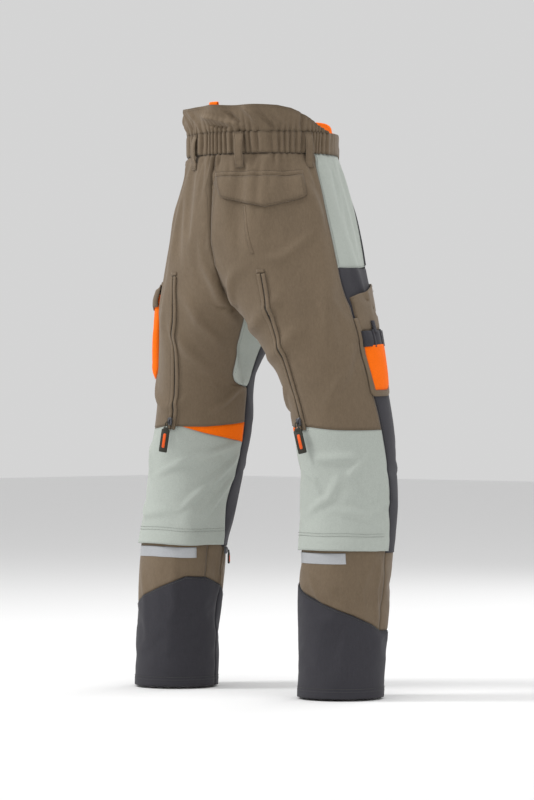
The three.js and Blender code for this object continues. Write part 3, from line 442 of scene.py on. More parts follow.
# Height and angle of each fold's three points, then its half width and rise in millimetres.
FRONT_FOLDS = [
    (0.90, -70, 0.80, -66, 0.66, -80, 14, 5),
    (0.75, -150, 0.70, -120, 0.66, -90, 12, 7),
    (0.50, -120, 0.46, -90, 0.47, -50, 12, 6),
    (0.43, -140, 0.40, -90, 0.43, -40, 12, 6),
]
FOLDS = {
    1: [
        (0.95, 20, 0.90, 34, 0.84, 44, 12, 5),
        (0.93, 118, 0.86, 116, 0.79, 112, 12, 6),
        (0.85, 112, 0.79, 132, 0.74, 158, 9, 8),
        (0.80, 98, 0.74, 128, 0.69, 160, 10, 10),
        (0.76, 84, 0.70, 112, 0.65, 150, 10, 7),
        (0.70, 78, 0.65, 104, 0.60, 142, 12, 7),
        (0.66, 160, 0.60, 172, 0.56, 182, 8, 6),
        (0.59, 184, 0.555, 162, 0.525, 140, 8, 8),
        (0.56, 120, 0.54, 100, 0.53, 70, 11, 5),
        (0.90, 60, 0.80, 62, 0.66, 66, 14, 5),
        (0.62, 20, 0.56, 50, 0.53, 84, 12, 5),
        (0.472, 188, 0.445, 140, 0.405, 78, 8, 8),
        (0.446, 188, 0.40, 158, 0.34, 122, 8, 8),
        (0.41, 190, 0.37, 172, 0.325, 150, 8, 7),
        (0.47, 30, 0.45, 52, 0.40, 66, 10, 5),
        (0.36, 20, 0.33, 60, 0.34, 110, 12, 4),
        (0.24, 60, 0.17, 80, 0.08, 84, 14, 4),
        (0.25, 120, 0.16, 128, 0.06, 122, 14, 4),
        (0.25, 190, 0.20, 196, 0.14, 190, 8, 4),
        *FRONT_FOLDS,
        (0.20, -60, 0.12, -80, 0.04, -78, 14, 4),
    ],
    -1: [
        (0.96, 30, 0.92, 20, 0.86, 14, 10, 6),
        (0.95, 108, 0.90, 116, 0.84, 110, 10, 6),
        (0.90, 136, 0.84, 124, 0.78, 106, 10, 6),
        (0.86, 20, 0.81, 52, 0.79, 84, 11, 5),
        (0.84, 132, 0.77, 130, 0.72, 146, 9, 8),
        (0.80, 84, 0.74, 116, 0.70, 156, 10, 9),
        (0.75, 60, 0.69, 104, 0.665, 156, 11, 8),
        (0.69, 56, 0.64, 96, 0.615, 152, 12, 7),
        (0.80, 14, 0.72, 30, 0.64, 34, 14, 5),
        (0.66, 12, 0.60, 30, 0.53, 66, 13, 6),
        (0.58, 116, 0.54, 138, 0.52, 172, 10, 5),
        (0.475, 120, 0.44, 84, 0.445, 34, 10, 6),
        (0.45, 20, 0.415, 44, 0.38, 26, 10, 6),
        (0.43, 118, 0.405, 92, 0.37, 84, 8, 7),
        (0.41, 60, 0.37, 72, 0.34, 110, 10, 6),
        (0.36, 0, 0.34, 30, 0.35, 60, 11, 4),
        (0.26, -2, 0.20, 2, 0.14, -6, 6, 6),
        (0.25, 14, 0.20, 26, 0.15, 14, 7, 6),
        (0.22, 56, 0.18, 38, 0.145, 14, 8, 5),
        (0.24, 100, 0.20, 88, 0.17, 72, 10, 4),
        (0.14, 40, 0.08, 48, 0.03, 44, 12, 3),
        *FRONT_FOLDS,
    ],
}
FOLD_WIDTH = 0.7  # the folds are this much narrower than listed
CUFF_STIFFNESS = ((0.05, 0.30), (0.4, 1.0))  # heights, and the share of a fold that shows there


def gathers(turn, phase=0.0, pleats=22):
    """Uneven upright pleats round the waist, broad on top and narrow between, from about -1 to 1."""
    around = np.radians(turn)
    wave = np.sin(around * pleats + 1.9 * np.sin(around * 5 + phase) + 0.8 * np.sin(around * 13) + phase)
    smaller = np.sin(around * 15 + 2.4 * np.sin(around * 3.4) + 2 * phase)
    return 1 - 2 * np.abs(wave) ** 5 * 0.8 + 0.45 * smaller - 0.3


def body_turn(side, x, y):
    return side * np.degrees(np.arctan2(x, y))


def fold_height(side, height, angle):
    total = 0
    for points, width, amount in map(unpack, FOLDS[side]):
        shifts = (-360, 0, 360) if max(abs(place) for _, place in points) > 150 else (0,)
        for shift in shifts:
            total = total + ridge(height, angle + shift, points, width * FOLD_WIDTH, amount)
    return total * np.interp(height, *CUFF_STIFFNESS)


GATHER_DEPTH = 0.055
ELASTIC_TURN = 104


def waist_gathers(side, height, point):
    """Rise of the pleats that the elastic draws into the shell; they fade out below the waist."""
    turn = body_turn(side, side * point[..., 0], point[..., 1])
    elastic = np.clip((ELASTIC_TURN + 8 - np.abs(turn)) / 14, 0, 1)
    long_ = 0.6 + 0.4 * np.sin(np.radians(turn) * 7 + 1)
    fade = np.clip((height - (WAIST - GATHER_DEPTH * long_)) / (GATHER_DEPTH * 0.8), 0, 1) ** 1.1
    sewn = np.clip((WAIST - height) / 0.008, 0.3, 1)
    return 0.0042 * gathers(side * turn, 0.4) * fade * elastic * sewn


# ---- shell grid, draped by a cloth simulation ----------------------------------------------------

ROWS = 168
COLUMNS = 96
HELD_ROWS = 3
CALM_REACH = 0.045
VENT_TOP, VENT_BOTTOM = 0.776, 0.488
VENT_TOP_OFFSET, VENT_BOTTOM_OFFSET = 0.111, 0.170
HEM_STIFFNESS = 0.26
REFINE = 3
DRAPE_FRAMES, SPARE_CLOTH, DRAPE_LIMIT = 18, 0.045, 0.008


def calm(x, y, height):
    """Share of folds left near the ends of the vent zips, where a slider parks; 0 at an end."""
    left = np.ones(np.shape(x))
    for level, offset in ((VENT_TOP, VENT_TOP_OFFSET), (VENT_BOTTOM, VENT_BOTTOM_OFFSET)):
        away = np.hypot(x - offset, height - level) / CALM_REACH
        left = np.where(y > 0, left * (1 - np.exp(-away ** 2)), left)
    return left


def shell_grid(side):
    """Positions of one side's grid, and for each row the share round the leg at each whole degree."""
    heights = np.linspace(0, WAIST, ROWS + 1)
    fine = 720
    positions = np.zeros((ROWS + 1, COLUMNS + 1, 3))
    shares = np.zeros((ROWS + 1, 361))
    for row, height in enumerate(heights):
        limit = float(middle_angle(np.array(height)))
        angles = np.linspace(limit, -limit, fine + 1)
        level = np.full(angles.shape, height)
        x, y = plan_point(level, angles)
        length = np.concatenate([[0], np.cumsum(np.hypot(np.diff(x), np.diff(y)))])
        share = length / length[-1]
        spread = np.interp(np.linspace(0, 1, COLUMNS + 1), share, angles)
        shares[row] = np.interp(-np.arange(-180, 181), -angles, share)
        level = np.full(spread.shape, height)
        x, y = plan_point(level, spread)
        normal_x, normal_y = np.gradient(y), -np.gradient(x)
        size = -np.hypot(normal_x, normal_y)
        lift = fold_height(side, level, spread) * calm(x, y, level)
        x = np.maximum(x + normal_x / size * lift, 0)
        y = y + normal_y / size * lift
        positions[row] = np.stack([side * x, y, level - WAIST], -1)
    return positions, shares


def grid_ids():
    """Vertex number of each grid point: loops close below the crotch, and the sides share the middle."""
    ids, count = {}, 0
    closed = [float(middle_angle(np.array(h))) > 179.9 for h in np.linspace(0, WAIST, ROWS + 1)]
    for side, _ in SIDES:
        ids[side] = np.zeros((ROWS + 1, COLUMNS + 1), int)
        for row in range(ROWS + 1):
            for column in range(COLUMNS + 1):
                if column == COLUMNS and closed[row]:
                    ids[side][row, column] = ids[side][row, 0]
                elif side == -1 and column in (0, COLUMNS) and not closed[row]:
                    ids[side][row, column] = ids[1][row, column]
                else:
                    ids[side][row, column] = count
                    count += 1
    return ids, count


def drape(grids):
    """Cloth simulation of the whole shell with a little spare cloth, held at the waist and hems."""
    ids, count = grid_ids()
    points = np.zeros((count, 3))
    held = np.full(count, 0.0)
    faces = []
    for side, _ in SIDES:
        points[ids[side]] = grids[side]
        held[ids[side][:HELD_ROWS]] = 1
        held[ids[side][-HELD_ROWS:]] = 1
        number = ids[side]
        for row in range(ROWS):
            for column in range(COLUMNS):
                corners = (number[row, column], number[row, column + 1],
                           number[row + 1, column + 1], number[row + 1, column])
                faces.append(corners if side == -1 else corners[::-1])
    mesh = bpy.data.meshes.new("shell")
    mesh.from_pydata(points.tolist(), [], faces)
    shell = bpy.data.objects.new("shell", mesh)
    scene = bpy.context.scene
    scene.collection.objects.link(shell)
    group = shell.vertex_groups.new(name="held")
    for weight in np.unique(held):
        group.add(np.nonzero(held == weight)[0].tolist(), float(weight), "REPLACE")
    cloth = shell.modifiers.new("cloth", "CLOTH")
    settings = cloth.settings
    settings.quality = 4
    settings.mass = 0.25
    settings.tension_stiffness = settings.compression_stiffness = 30
    settings.shear_stiffness = 12
    settings.bending_stiffness = 4.0
    settings.vertex_group_mass = "held"
    settings.pin_stiffness = 1.0
    settings.shrink_min = -SPARE_CLOTH
    settings.effector_weights.gravity = 0.1
    settings.use_pressure = True
    settings.uniform_pressure_force = 0.2
    cloth.point_cache.frame_start, cloth.point_cache.frame_end = 1, DRAPE_FRAMES
    for step in range(1, DRAPE_FRAMES + 1):
        scene.frame_set(step)
    result = shell.evaluated_get(bpy.context.evaluated_depsgraph_get()).to_mesh()
    moved = np.zeros(count * 3)
    result.vertices.foreach_get("co", moved)
    moved = moved.reshape(-1, 3) - points
    scene.frame_set(1)
    moved[np.abs(points[:, 0]) < 1e-4, 0] = 0
    moved *= np.clip((points[:, 2:] + WAIST) / HEM_STIFFNESS, 0, 1) ** 1.5
    size = np.linalg.norm(moved, axis=1, keepdims=True)
    moved *= DRAPE_LIMIT * np.tanh(size / DRAPE_LIMIT) / np.maximum(size, 1e-9)
    moved *= calm(np.abs(points[:, 0]), points[:, 1], points[:, 2] + WAIST)[:, None]
    bpy.data.objects.remove(shell)
    return {side: grids[side] + moved[ids[side]] for side, _ in SIDES}


def refine(values, axis):
    """Catmull-Rom refinement of a grid along one axis."""
    values = np.moveaxis(values, axis, 0)
    padded = np.concatenate([2 * values[:1] - values[1:2], values, 2 * values[-1:] - values[-2:-1]])
    a, b, c, d = padded[:-3], padded[1:-2], padded[2:-1], padded[3:]
    made = []
    for i in range(REFINE):
        t = i / REFINE
        made.append(0.5 * (2 * b + (c - a) * t + (2 * a - 5 * b + 4 * c - d) * t * t
                           + (3 * b - a - 3 * c + d) * t ** 3))
    stacked = np.stack(made, 1).reshape(-1, *values.shape[1:])
    return np.moveaxis(np.concatenate([stacked, values[-1:]]), 0, axis)


def make_shell():
    made = {side: shell_grid(side) for side, _ in SIDES}
    grids = {side: made[side][0] for side, _ in SIDES}
    grids = drape(grids)
    return {side: (refine(refine(grids[side], 0), 1), made[side][1]) for side, _ in SIDES}


def bilinear(table, row, column):
    row = np.clip(row, 0, table.shape[0] - 1.0001)
    column = np.clip(column, 0, table.shape[1] - 1.0001)
    i, j = row.astype(int), column.astype(int)
    s, t = row - i, column - j
    if table.ndim == 3:
        s, t = s[..., None], t[..., None]
    return ((table[i, j] * (1 - t) + table[i, j + 1] * t) * (1 - s)
            + (table[i + 1, j] * (1 - t) + table[i + 1, j + 1] * t) * s)


make_camera()
make_studio()
SHELL = make_shell()


def on_shell(side, height, angle):
    grid, shares = SHELL[side]
    row = height / WAIST * ROWS
    wrapped = (angle + 180) % 360
    share = bilinear(shares, row, wrapped)
    return bilinear(grid, row * REFINE, share * COLUMNS * REFINE)


def garment(side, height, angle, lift=0.0):
    """Points of the draped shell, lifted along its outward direction."""
    height, angle, lift = np.broadcast_arrays(*map(np.asarray, (height, angle, lift)))
    height, angle = height.astype(float), angle.astype(float)
    middle = middle_angle(height)
    inside = np.where(height > CROTCH, np.clip(angle, -middle, middle), angle)
    point = on_shell(side, height, inside)
    up = on_shell(side, np.minimum(height + 0.003, WAIST), inside) - on_shell(side, height - 0.003, inside)
    round_ = on_shell(side, height, inside + 2) - on_shell(side, height, inside - 2)
    normal = np.cross(round_, up) * side
    normal /= np.maximum(np.linalg.norm(normal, axis=-1, keepdims=True), 1e-9)
    made = point + normal * (lift + waist_gathers(side, height, point))[..., None]
    made[..., 0] = np.where((height > CROTCH) & (made[..., 0] * side < 0), 0, made[..., 0])
    return made


# ---- meshes --------------------------------------------------------------------------------------

SEAM_ROLL, SEAM_WIDTH = 0.0012, 0.0030


def add_piece(name, points, faces, look, body="root", nodes=(), seam=None):
    """Mesh that rides a body and stands for CAD nodes; without a body it is left unparented."""
    material, slot = look
    mesh = bpy.data.meshes.new(name)
    mesh.from_pydata(np.asarray(points).tolist(), [], [tuple(map(int, face)) for face in faces])
    # seam: how near each point lies to a seam, where the cloth materials paint shade.
    if seam is not None:
        attribute = mesh.attributes.new("seam", "FLOAT", "POINT")
        attribute.data.foreach_set("value", np.asarray(seam, float).ravel())
    mesh.materials.append(material)
    mesh.shade_smooth()
    mesh.update()
    piece = bpy.data.objects.new(name, mesh)
    bpy.context.scene.collection.objects.link(piece)
    if body:
        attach(piece, body)
    if nodes:
        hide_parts(*nodes)
    return piece


def sheet_faces(rows, columns):
    """Faces of a closed sheet: an outer and an inner layer of (rows + 1) x (columns + 1) points, and rims."""
    def at(row, column, inner=0):
        return (inner * (rows + 1) + row) * (columns + 1) + column

    faces = []
    for row in range(rows):
        for column in range(columns):
            faces.append((at(row, column), at(row, column + 1), at(row + 1, column + 1), at(row + 1, column)))
            faces.append((at(row, column, 1), at(row + 1, column, 1),
                          at(row + 1, column + 1, 1), at(row, column + 1, 1)))
    for column in range(columns):
        after = column + 1
        faces.append((at(0, column, 1), at(0, after, 1), at(0, after), at(0, column)))
        faces.append((at(rows, column), at(rows, after), at(rows, after, 1), at(rows, column, 1)))
    for row in range(rows):
        after = row + 1
        faces.append((at(row, 0, 1), at(row, 0), at(after, 0), at(after, 0, 1)))
        faces.append((at(row, columns), at(row, columns, 1), at(after, columns, 1), at(after, columns)))
    return faces


def oriented(points, faces):
    """Faces turned outward, judged by the signed volume."""
    points = np.asarray(points)
    volume = 0.0
    for triple in (np.array([face[:3] for face in faces]),
                   np.array([(face[0], face[2], face[-1]) for face in faces])):
        a, b, c = points[triple[:, 0]], points[triple[:, 1]], points[triple[:, 2]]
        volume += np.einsum("ij,ij->i", a, np.cross(b, c)).sum()
    return [face[::-1] for face in faces] if volume < 0 else faces


def resolve(rows, columns, bottom, top, start, end):
    """Heights and angles of a patch's grid; its seams may depend on each other."""
    v, u = np.meshgrid(np.linspace(0, 1, rows + 1), np.linspace(0, 1, columns + 1), indexing="ij")
    height = np.full(v.shape, 0.5)
    angle = np.zeros(v.shape)
    for _ in range(10):
        angle = start(height) * (1 - u) + end(height) * u
        height = bottom(angle) * (1 - v) + top(angle) * v
    return height, angle, u, v


def sewn_sheet(name, place, outer, thickness, groove, look, body, nodes):
    """Closed sheet between two lifts of a surface. Its grooves carry the painted shade of the cloth materials.
    """
    points = np.concatenate([place(lift).reshape(-1, 3) for lift in (outer, outer - thickness)])
    faces = sheet_faces(groove.shape[0] - 1, groove.shape[1] - 1)
    seam = np.concatenate([groove.ravel(), np.zeros(groove.size)])
    return add_piece(name, points, oriented(points, faces), look, body, nodes, seam)


def patch(name, side, body, bottom, top, start, end, look, nodes=(), size=0.005,
          lift=0.0, thickness=FABRIC, roll=SEAM_ROLL, free="", relief=None):
    """Closed cloth panel between seams. Its outer face rolls down into each seam that isn't free."""
    limits = [as_seam(edge) for edge in (bottom, top, start, end)]
    height, angle, _, _ = resolve(2, 2, *limits)
    span = garment(side, height, angle)
    rows = max(int(np.linalg.norm(span[-1] - span[0], axis=-1).max() / size), 2)
    columns = max(int(np.linalg.norm(np.diff(span, axis=1), axis=-1).sum(1).max() * 1.15 / size), 2)
    height, angle, u, v = resolve(rows, columns, *limits)
    base = garment(side, height, angle)
    wide = np.linalg.norm(np.diff(base, axis=1), axis=-1).sum(1)[:, None]
    tall = np.linalg.norm(np.diff(base, axis=0), axis=-1).sum(0)[None, :]
    edges = {"l": u * wide, "r": (1 - u) * wide, "b": v * tall, "t": (1 - v) * tall}
    sewn = np.minimum.reduce([edges[key] for key in edges if key not in free] + [np.full(u.shape, 1.0)])
    groove = np.exp(-(sewn / SEAM_WIDTH) ** 2)
    outer = lift + thickness - roll * groove
    if relief is not None:
        outer = outer + relief(height, angle, edges)
    place = lambda rise: garment(side, height, angle, rise)
    return sewn_sheet(name, place, outer, thickness, groove, look, body, nodes)


def bend_at_knee(piece):
    """The piece's transform is baked into its mesh; it stays where it was built."""
    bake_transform(piece)


# ---- shell panels --------------------------------------------------------------------------------

SHIN_SEAM = 168
SHIN_ZIP_ANGLE = 201
PAD_HEIGHTS, PAD_ANGLES = (0.06, 0.68), (-150, -18)


def hem_fold(depth):
    """A folded hem is a little thicker than the cloth above it."""
    return lambda height, angle, edges: 0.0008 / (1 + np.exp((edges["b"] - depth) / 0.0012))


def add_panels(side, name):
    shin = f"shin_{name}"
    patch(f"back_panel_cloth_{name}", side, "root", wedge_top, WAIST, side_seam, back_inner_seam, TWILL,
          [f"back_panel_{name}"], 0.0045)
    front = patch(f"front_panel_cloth_{name}", side, None, CALF_HEM - 0.004, YOKE_SEAM, side_seam,
                  front_inner_seam, CHARCOAL, [f"front_panel_{name}"], free="b")
    patch(f"front_yoke_cloth_{name}", side, "root", YOKE_SEAM, WAIST, HIP_FRONT, front_inner_seam, CHARCOAL)
    patch(f"hip_panel_cloth_{name}", side, "root", hip_bottom, WAIST, HIP_FRONT, side_seam, STRETCH,
          [f"hip_panel_{name}"])
    patch(f"gusset_cloth_{name}", side, "root", gusset_bottom, gusset_top, GUSSET_BACK, GUSSET_FRONT,
          STRETCH, [f"gusset_{name}"])
    patch(f"knee_wedge_cloth_{name}", side, "root", wedge_bottom, wedge_top, WEDGE_TIP, GUSSET_TIP, ORANGE,
          [f"knee_wedge_{name}"], 0.004)
    flare = lambda height, angle, edges: 0.0042 * np.clip(1 - edges["b"] / 0.09, 0, 1) ** 1.5
    hem = hem_fold(0.024)
    calf = patch(f"knee_panel_cloth_{name}", side, None, CALF_HEM, wedge_bottom, side_seam, GUSSET_TIP,
                 STRETCH, [f"knee_panel_{name}", f"calf_panel_{name}"], 0.004, free="b",
                 relief=lambda h, a, e: flare(h, a, e) + hem(h, a, e))
    under = {"lift": -FABRIC, "free": "t"}
    patch(f"shin_back_cloth_{name}", side, shin, cuff_top, SHIN_TOP, -12, SHIN_SEAM, TWILL,
          [f"shin_back_{name}"], 0.0045, **under)
    patch(f"shin_inner_cloth_{name}", side, shin, cuff_top, SHIN_TOP, SHIN_SEAM, SHIN_ZIP_ANGLE - 1.5, TWILL,
          (), 0.004, **under)
    patch(f"shin_front_cloth_{name}", side, shin, cuff_top, SHIN_TOP, SHIN_ZIP_ANGLE + 1.5, 348, TWILL,
          [f"shin_front_{name}"], **under)
    patch(f"cuff_guard_cloth_{name}", side, shin, 0.0, cuff_top, SHIN_ZIP_ANGLE - 360, SHIN_ZIP_ANGLE,
          CHARCOAL, [f"cuff_guard_{name}"], 0.0045, free="b", relief=hem_fold(0.016))
    pads = patch(f"cut_pad_cloth_{name}", side, None, *PAD_HEIGHTS, *PAD_ANGLES, PADDING,
                 [f"cut_pad_thigh_{name}", f"cut_pad_shin_{name}"], 0.008, lift=-0.0075,
                 thickness=0.0045, free="lrtb",
                 relief=lambda h, a, e: 0.0007 * np.sin(h / 0.004) * np.cos(a / 3))
    for piece in (front, calf, pads):
        bend_at_knee(piece)


# ---- ribbons and stitches ------------------------------------------------------------------------

def unit(vectors):
    return vectors / np.maximum(np.linalg.norm(vectors, axis=-1, keepdims=True), 1e-9)


def resample(points, normals, step):
    """Even steps along a path."""
    length = np.concatenate([[0], np.cumsum(np.linalg.norm(np.diff(points, axis=0), axis=1))])
    wanted = np.linspace(0, length[-1], max(int(round(length[-1] / step)), 2) + 1)
    pick = lambda values: np.stack([np.interp(wanted, length, values[:, i]) for i in range(3)], -1)
    return pick(points), unit(pick(normals))


def line(side, course, lift=0.0, count=160):
    """Path on the shell through (height, angle) points, with its outward directions."""
    course = np.array(course, float)
    place = np.linspace(0, len(course) - 1, count)
    height = np.interp(place, np.arange(len(course)), course[:, 0])
    angle = np.interp(place, np.arange(len(course)), course[:, 1])
    points = garment(side, height, angle, FABRIC + lift)
    return points, unit(garment(side, height, angle, FABRIC + lift + 0.002) - points)


def up_seam(seam, low, high, offset, count=40):
    """Course that follows a seam angle from one height to another, a distance off to one side."""
    heights = np.linspace(low, high, count)
    return list(zip(heights, as_seam(seam)(heights) + np.degrees(offset / section(heights, HALF_WIDTH))))


def along_seam(seam, start, end, offset, count=60):
    """Course that follows a seam height from one angle to another, a distance above it."""
    angles = np.linspace(start, end, count)
    return list(zip(as_seam(seam)(angles) + offset, angles))


SECTION = np.array([(-0.5, 0.0), (-0.5, 0.55), (-0.42, 0.9), (-0.2, 1.0), (0.2, 1.0), (0.42, 0.9),
                    (0.5, 0.55), (0.5, 0.0), (0.25, 0.0), (-0.25, 0.0)])
CENTRED = SECTION - (0, 0.5)


def swept(points, normals, width, thickness, outline=SECTION):
    """Closed strap along a path: points and faces."""
    tangents = unit(np.gradient(points, axis=0))
    across = unit(np.cross(normals, tangents))
    upward = unit(np.cross(tangents, across))
    width = np.broadcast_to(width, (len(points),))[:, None, None]
    made = (points[:, None] + across[:, None] * outline[None, :, :1] * width
            + upward[:, None] * outline[None, :, 1:] * thickness)
    count, around = len(points), len(outline)
    faces = []
    for i in range(count - 1):
        for k in range(around):
            after = (k + 1) % around
            faces.append((i * around + k, i * around + after, (i + 1) * around + after, (i + 1) * around + k))
    faces.append(tuple(range(around))[::-1])
    faces.append(tuple((count - 1) * around + k for k in range(around)))
    made = made.reshape(-1, 3)
    return made, oriented(made, faces)


def ribbon(name, path, width, thickness, look, body="root", nodes=(), step=0.004):
    made, faces = swept(*resample(*path, step), width, thickness)
    add_piece(name, made, faces, look, body, nodes)


def joined(parts):
    """One mesh of several (points, faces)."""
    points, faces, count = [], [], 0
    for part_points, part_faces in parts:
        points.append(part_points)
        faces += [tuple(index + count for index in face) for face in part_faces]
        count += len(part_points)
    return np.concatenate(points), faces


STITCH_PITCH, STITCH_LENGTH, STITCH_WIDTH, STITCH_RISE = 0.0032, 0.0024, 0.0009, 0.0006
STITCH_FACES = ((0, 2, 3), (0, 3, 4), (0, 4, 5), (0, 5, 2), (1, 3, 2), (1, 4, 3), (1, 5, 4), (1, 2, 5))


def stitch_parts(path):
    points, normals = resample(*path, STITCH_PITCH)
    tangents = unit(np.gradient(points, axis=0))
    across = unit(np.cross(normals, tangents))
    half = tangents * STITCH_LENGTH / 2
    side, up, down = across * STITCH_WIDTH / 2, normals * STITCH_RISE, normals * STITCH_RISE * -0.5
    corners = np.stack([points - half + down / 2, points + half + down / 2, points + side,
                        points + up, points - side, points + down], 1)
    faces = [tuple(6 * i + k for k in face) for i in range(len(points)) for face in STITCH_FACES]
    return corners.reshape(-1, 3), faces


def stitching(name, paths, look, body="root"):
    return add_piece(name, *joined([stitch_parts(path) for path in paths]), look, body)


# ---- zips ----------------------------------------------------------------------------------------

ZIP_WIDTH = 0.012
LIP_WIDTH = 0.0075
VENT_SUNK = 0.0038
VENT_PULL_TILT = {1: -0.15, -1: 0.24}


def vent_line(side, start, end, sideways, lift):
    height = np.linspace(start, end, 120)
    share = (height - VENT_BOTTOM) / (VENT_TOP - VENT_BOTTOM)
    offset = VENT_BOTTOM_OFFSET + (VENT_TOP_OFFSET - VENT_BOTTOM_OFFSET) * share + sideways
    angle = back_angle(height, offset)
    points = garment(side, height, angle, FABRIC + lift)
    return points, unit(garment(side, height, angle, FABRIC + lift + 0.002) - points)


def zip_teeth(path):
    """Coil of a zip: short bars that lie across its line."""
    points, normals = resample(*path, 0.0022)
    tangents = unit(np.gradient(points, axis=0))
    across = unit(np.cross(normals, tangents))
    parts = []
    for point, normal, side in zip(points, normals, across):
        bar = np.stack([point - side * 0.0024, point + side * 0.0024])
        parts.append(swept(bar, np.stack([normal, normal]), 0.0013, 0.0012))
    return joined(parts)


def plate(outline, thickness, frame_axes, centre_, bevel=0.0006):
    """Bevelled flat piece from an outline of (across, up) points."""
    outline = np.array(outline)
    middle = outline.mean(0)
    size = np.abs(outline - middle).max()
    small = middle + (outline - middle) * (1 - bevel / size)
    across, up, outward = (np.array(axis, float) for axis in frame_axes)
    layers = [(small, -thickness / 2), (outline, -thickness / 2 + bevel),
              (outline, thickness / 2 - bevel), (small, thickness / 2)]
    points = np.concatenate([np.array(centre_) + flat[:, :1] * across + flat[:, 1:] * up + outward * rise
                             for flat, rise in layers])
    around = len(outline)
    faces = [(k * around + i, k * around + (i + 1) % around, (k + 1) * around + (i + 1) % around,
              (k + 1) * around + i) for k in range(3) for i in range(around)]
    faces.append(tuple(range(around))[::-1])
    faces.append(tuple(3 * around + i for i in range(around)))
    return points, oriented(points, faces)


def rounded_rectangle(width, length, radius):
    points, steps = [], 5
    for corner, (x, y) in enumerate(((1, 1), (-1, 1), (-1, -1), (1, -1))):
        for k in range(steps + 1):
            angle = math.pi / 2 * (corner + k / steps)
            points.append((x * (width / 2 - radius) + radius * math.cos(angle),
                           y * (length / 2 - radius) + radius * math.sin(angle)))
    return points


def middle_of(node):
    low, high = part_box(node)
    return np.array((low + high) / 2)


def axes_of(up, outward):
    up = np.array(up, float) / np.linalg.norm(up)
    outward = np.array(outward, float)
    outward = unit(outward - up * (outward @ up))
    return np.cross(up, outward), up, outward


def slider_outline(width, length):
    """Broad shoulders at the top, where the tapes part, and a narrow foot."""
    half, tall = width / 2, length / 2
    right = [(x * half, y * tall) for x, y in ((0.45, -1), (0.72, -0.7), (0.78, -0.1), (1, 0.45),
                                               (0.9, 0.85), (0.6, 1))]
    return right + [(-x, y) for x, y in right[::-1]]


def add_slider(node, up, outward, body, sunk=0.0):
    """Slider in its node's place, or sunk a little nearer to the cloth that it rides on."""
    axes = axes_of(up, outward)
    centre_ = middle_of(node) - axes[2] * sunk
    lower = plate(slider_outline(0.010, 0.015), 0.0015, axes, centre_ - axes[2] * 0.0022, 0.0004)
    upper = plate(slider_outline(0.0096, 0.0145), 0.0018, axes, centre_ + axes[2] * 0.0003, 0.0005)
    post = plate(rounded_rectangle(0.003, 0.005, 0.001), 0.0025, axes, centre_ + axes[1] * 0.003
                 - axes[2] * 0.001, 0.0002)
    arch = [centre_ + axes[1] * 0.0052 * math.cos(t) + axes[2] * (0.0009 + 0.0024 * math.sin(t))
            for t in np.linspace(0, math.pi, 13)]
    bridge = swept(np.array(arch), np.tile(axes[0], (13, 1)), 0.0014, 0.0034, CENTRED)
    points, faces = joined([lower, upper, post, bridge])
    add_piece(f"{node}_body", points, faces, METAL, body, [node])


def add_pull(node, outward, body, tilt, sunk=0.0):
    """Strap on a loop of cord, with a plain raised stripe."""
    low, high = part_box(node)
    length = high.z - low.z
    width = 0.0165 if length > 0.04 else 0.0085
    across, _, outward = axes_of((0, 0, 1), outward)
    top = middle_of(node) + np.array((0, 0, length / 2)) - outward * sunk
    down = np.array((0, 0, -1)) * math.cos(tilt) + across * math.sin(tilt)
    axes = (np.cross(-down, outward), -down, outward)
    neck = 0.24 * length
    loop = []
    for t in np.linspace(0, 2 * math.pi, 33)[:-1]:
        loop.append(top + down * (neck * 0.62 - neck * 0.62 * math.cos(t)) + axes[0] * 0.0026 * math.sin(t))
    cord = swept(np.array(loop + loop[:1]), np.tile(outward, (33, 1)), 0.0016, 0.0014, CENTRED)
    centre_ = top + down * (neck + (length - neck) / 2)
    strap = plate(rounded_rectangle(width, length - neck, 0.0022), 0.0030, axes, centre_, 0.0009)
    collar = plate(rounded_rectangle(width * 0.62, neck * 0.5, 0.0015), 0.0036, axes, top + down * neck,
                   0.0008)
    points, faces = joined([cord, strap, collar])
    add_piece(f"{node}_strap", points, faces, STRAP, body, [node])
    stripe_radius = min(0.002, width * 0.16)
    bar = plate(rounded_rectangle(width * 0.34, (length - neck) * 0.62, stripe_radius), 0.0010, axes,
                centre_ + outward * 0.0017, 0.0003)
    add_piece(f"{node}_stripe", *bar, STRIPE, body)


def add_lips(name, course, body, look, gap=0.0009):
    """Two folded edges that cover a zip's teeth, either side of its line."""
    for place, sideways in (("outer", LIP_WIDTH / 2 + gap), ("inner", -LIP_WIDTH / 2 - gap)):
        ribbon(f"{name}_lip_{place}", course(sideways), LIP_WIDTH, 0.0026, look, body)


def add_vent(side, name):
    course = lambda sideways, lift=0.0: vent_line(side, VENT_BOTTOM + 0.001, VENT_TOP, sideways, lift)
    ribbon(f"vent_tape_cloth_{name}", course(0.0, -0.0002), ZIP_WIDTH, 0.0012, TAPE, "root",
           [f"vent_zip_tape_{name}"])
    teeth = zip_teeth(vent_line(side, VENT_BOTTOM + 0.006, VENT_TOP - 0.006, 0.0, 0.0009))
    add_piece(f"vent_teeth_{name}", *teeth, COIL)
    add_lips(f"vent_{name}", lambda sideways: course(sideways, 0.0008), "root", TWILL)
    tack = [vent_line(side, VENT_TOP + 0.005, VENT_TOP + 0.0052, offset, 0) for offset in (-0.008, 0.008)]
    end = np.linspace(tack[0][0][0], tack[1][0][0], 12), np.tile(tack[0][1][0], (12, 1))
    ribbon(f"vent_end_{name}", end, 0.006, 0.0022, TWILL)
    stitching(f"vent_stitching_{name}", [course(sideways) for sideways in (-0.0125, 0.0125)], THREAD)
    slider, pull = f"vent_slider_{name}", f"vent_pull_{name}"
    add_slider(slider, JOINTS[f"vent_zip_{name}"]["axis"], (0, 1, 0), slider, VENT_SUNK)
    add_pull(pull, (-0.35, 0.94, 0), pull, VENT_PULL_TILT[side], VENT_SUNK)


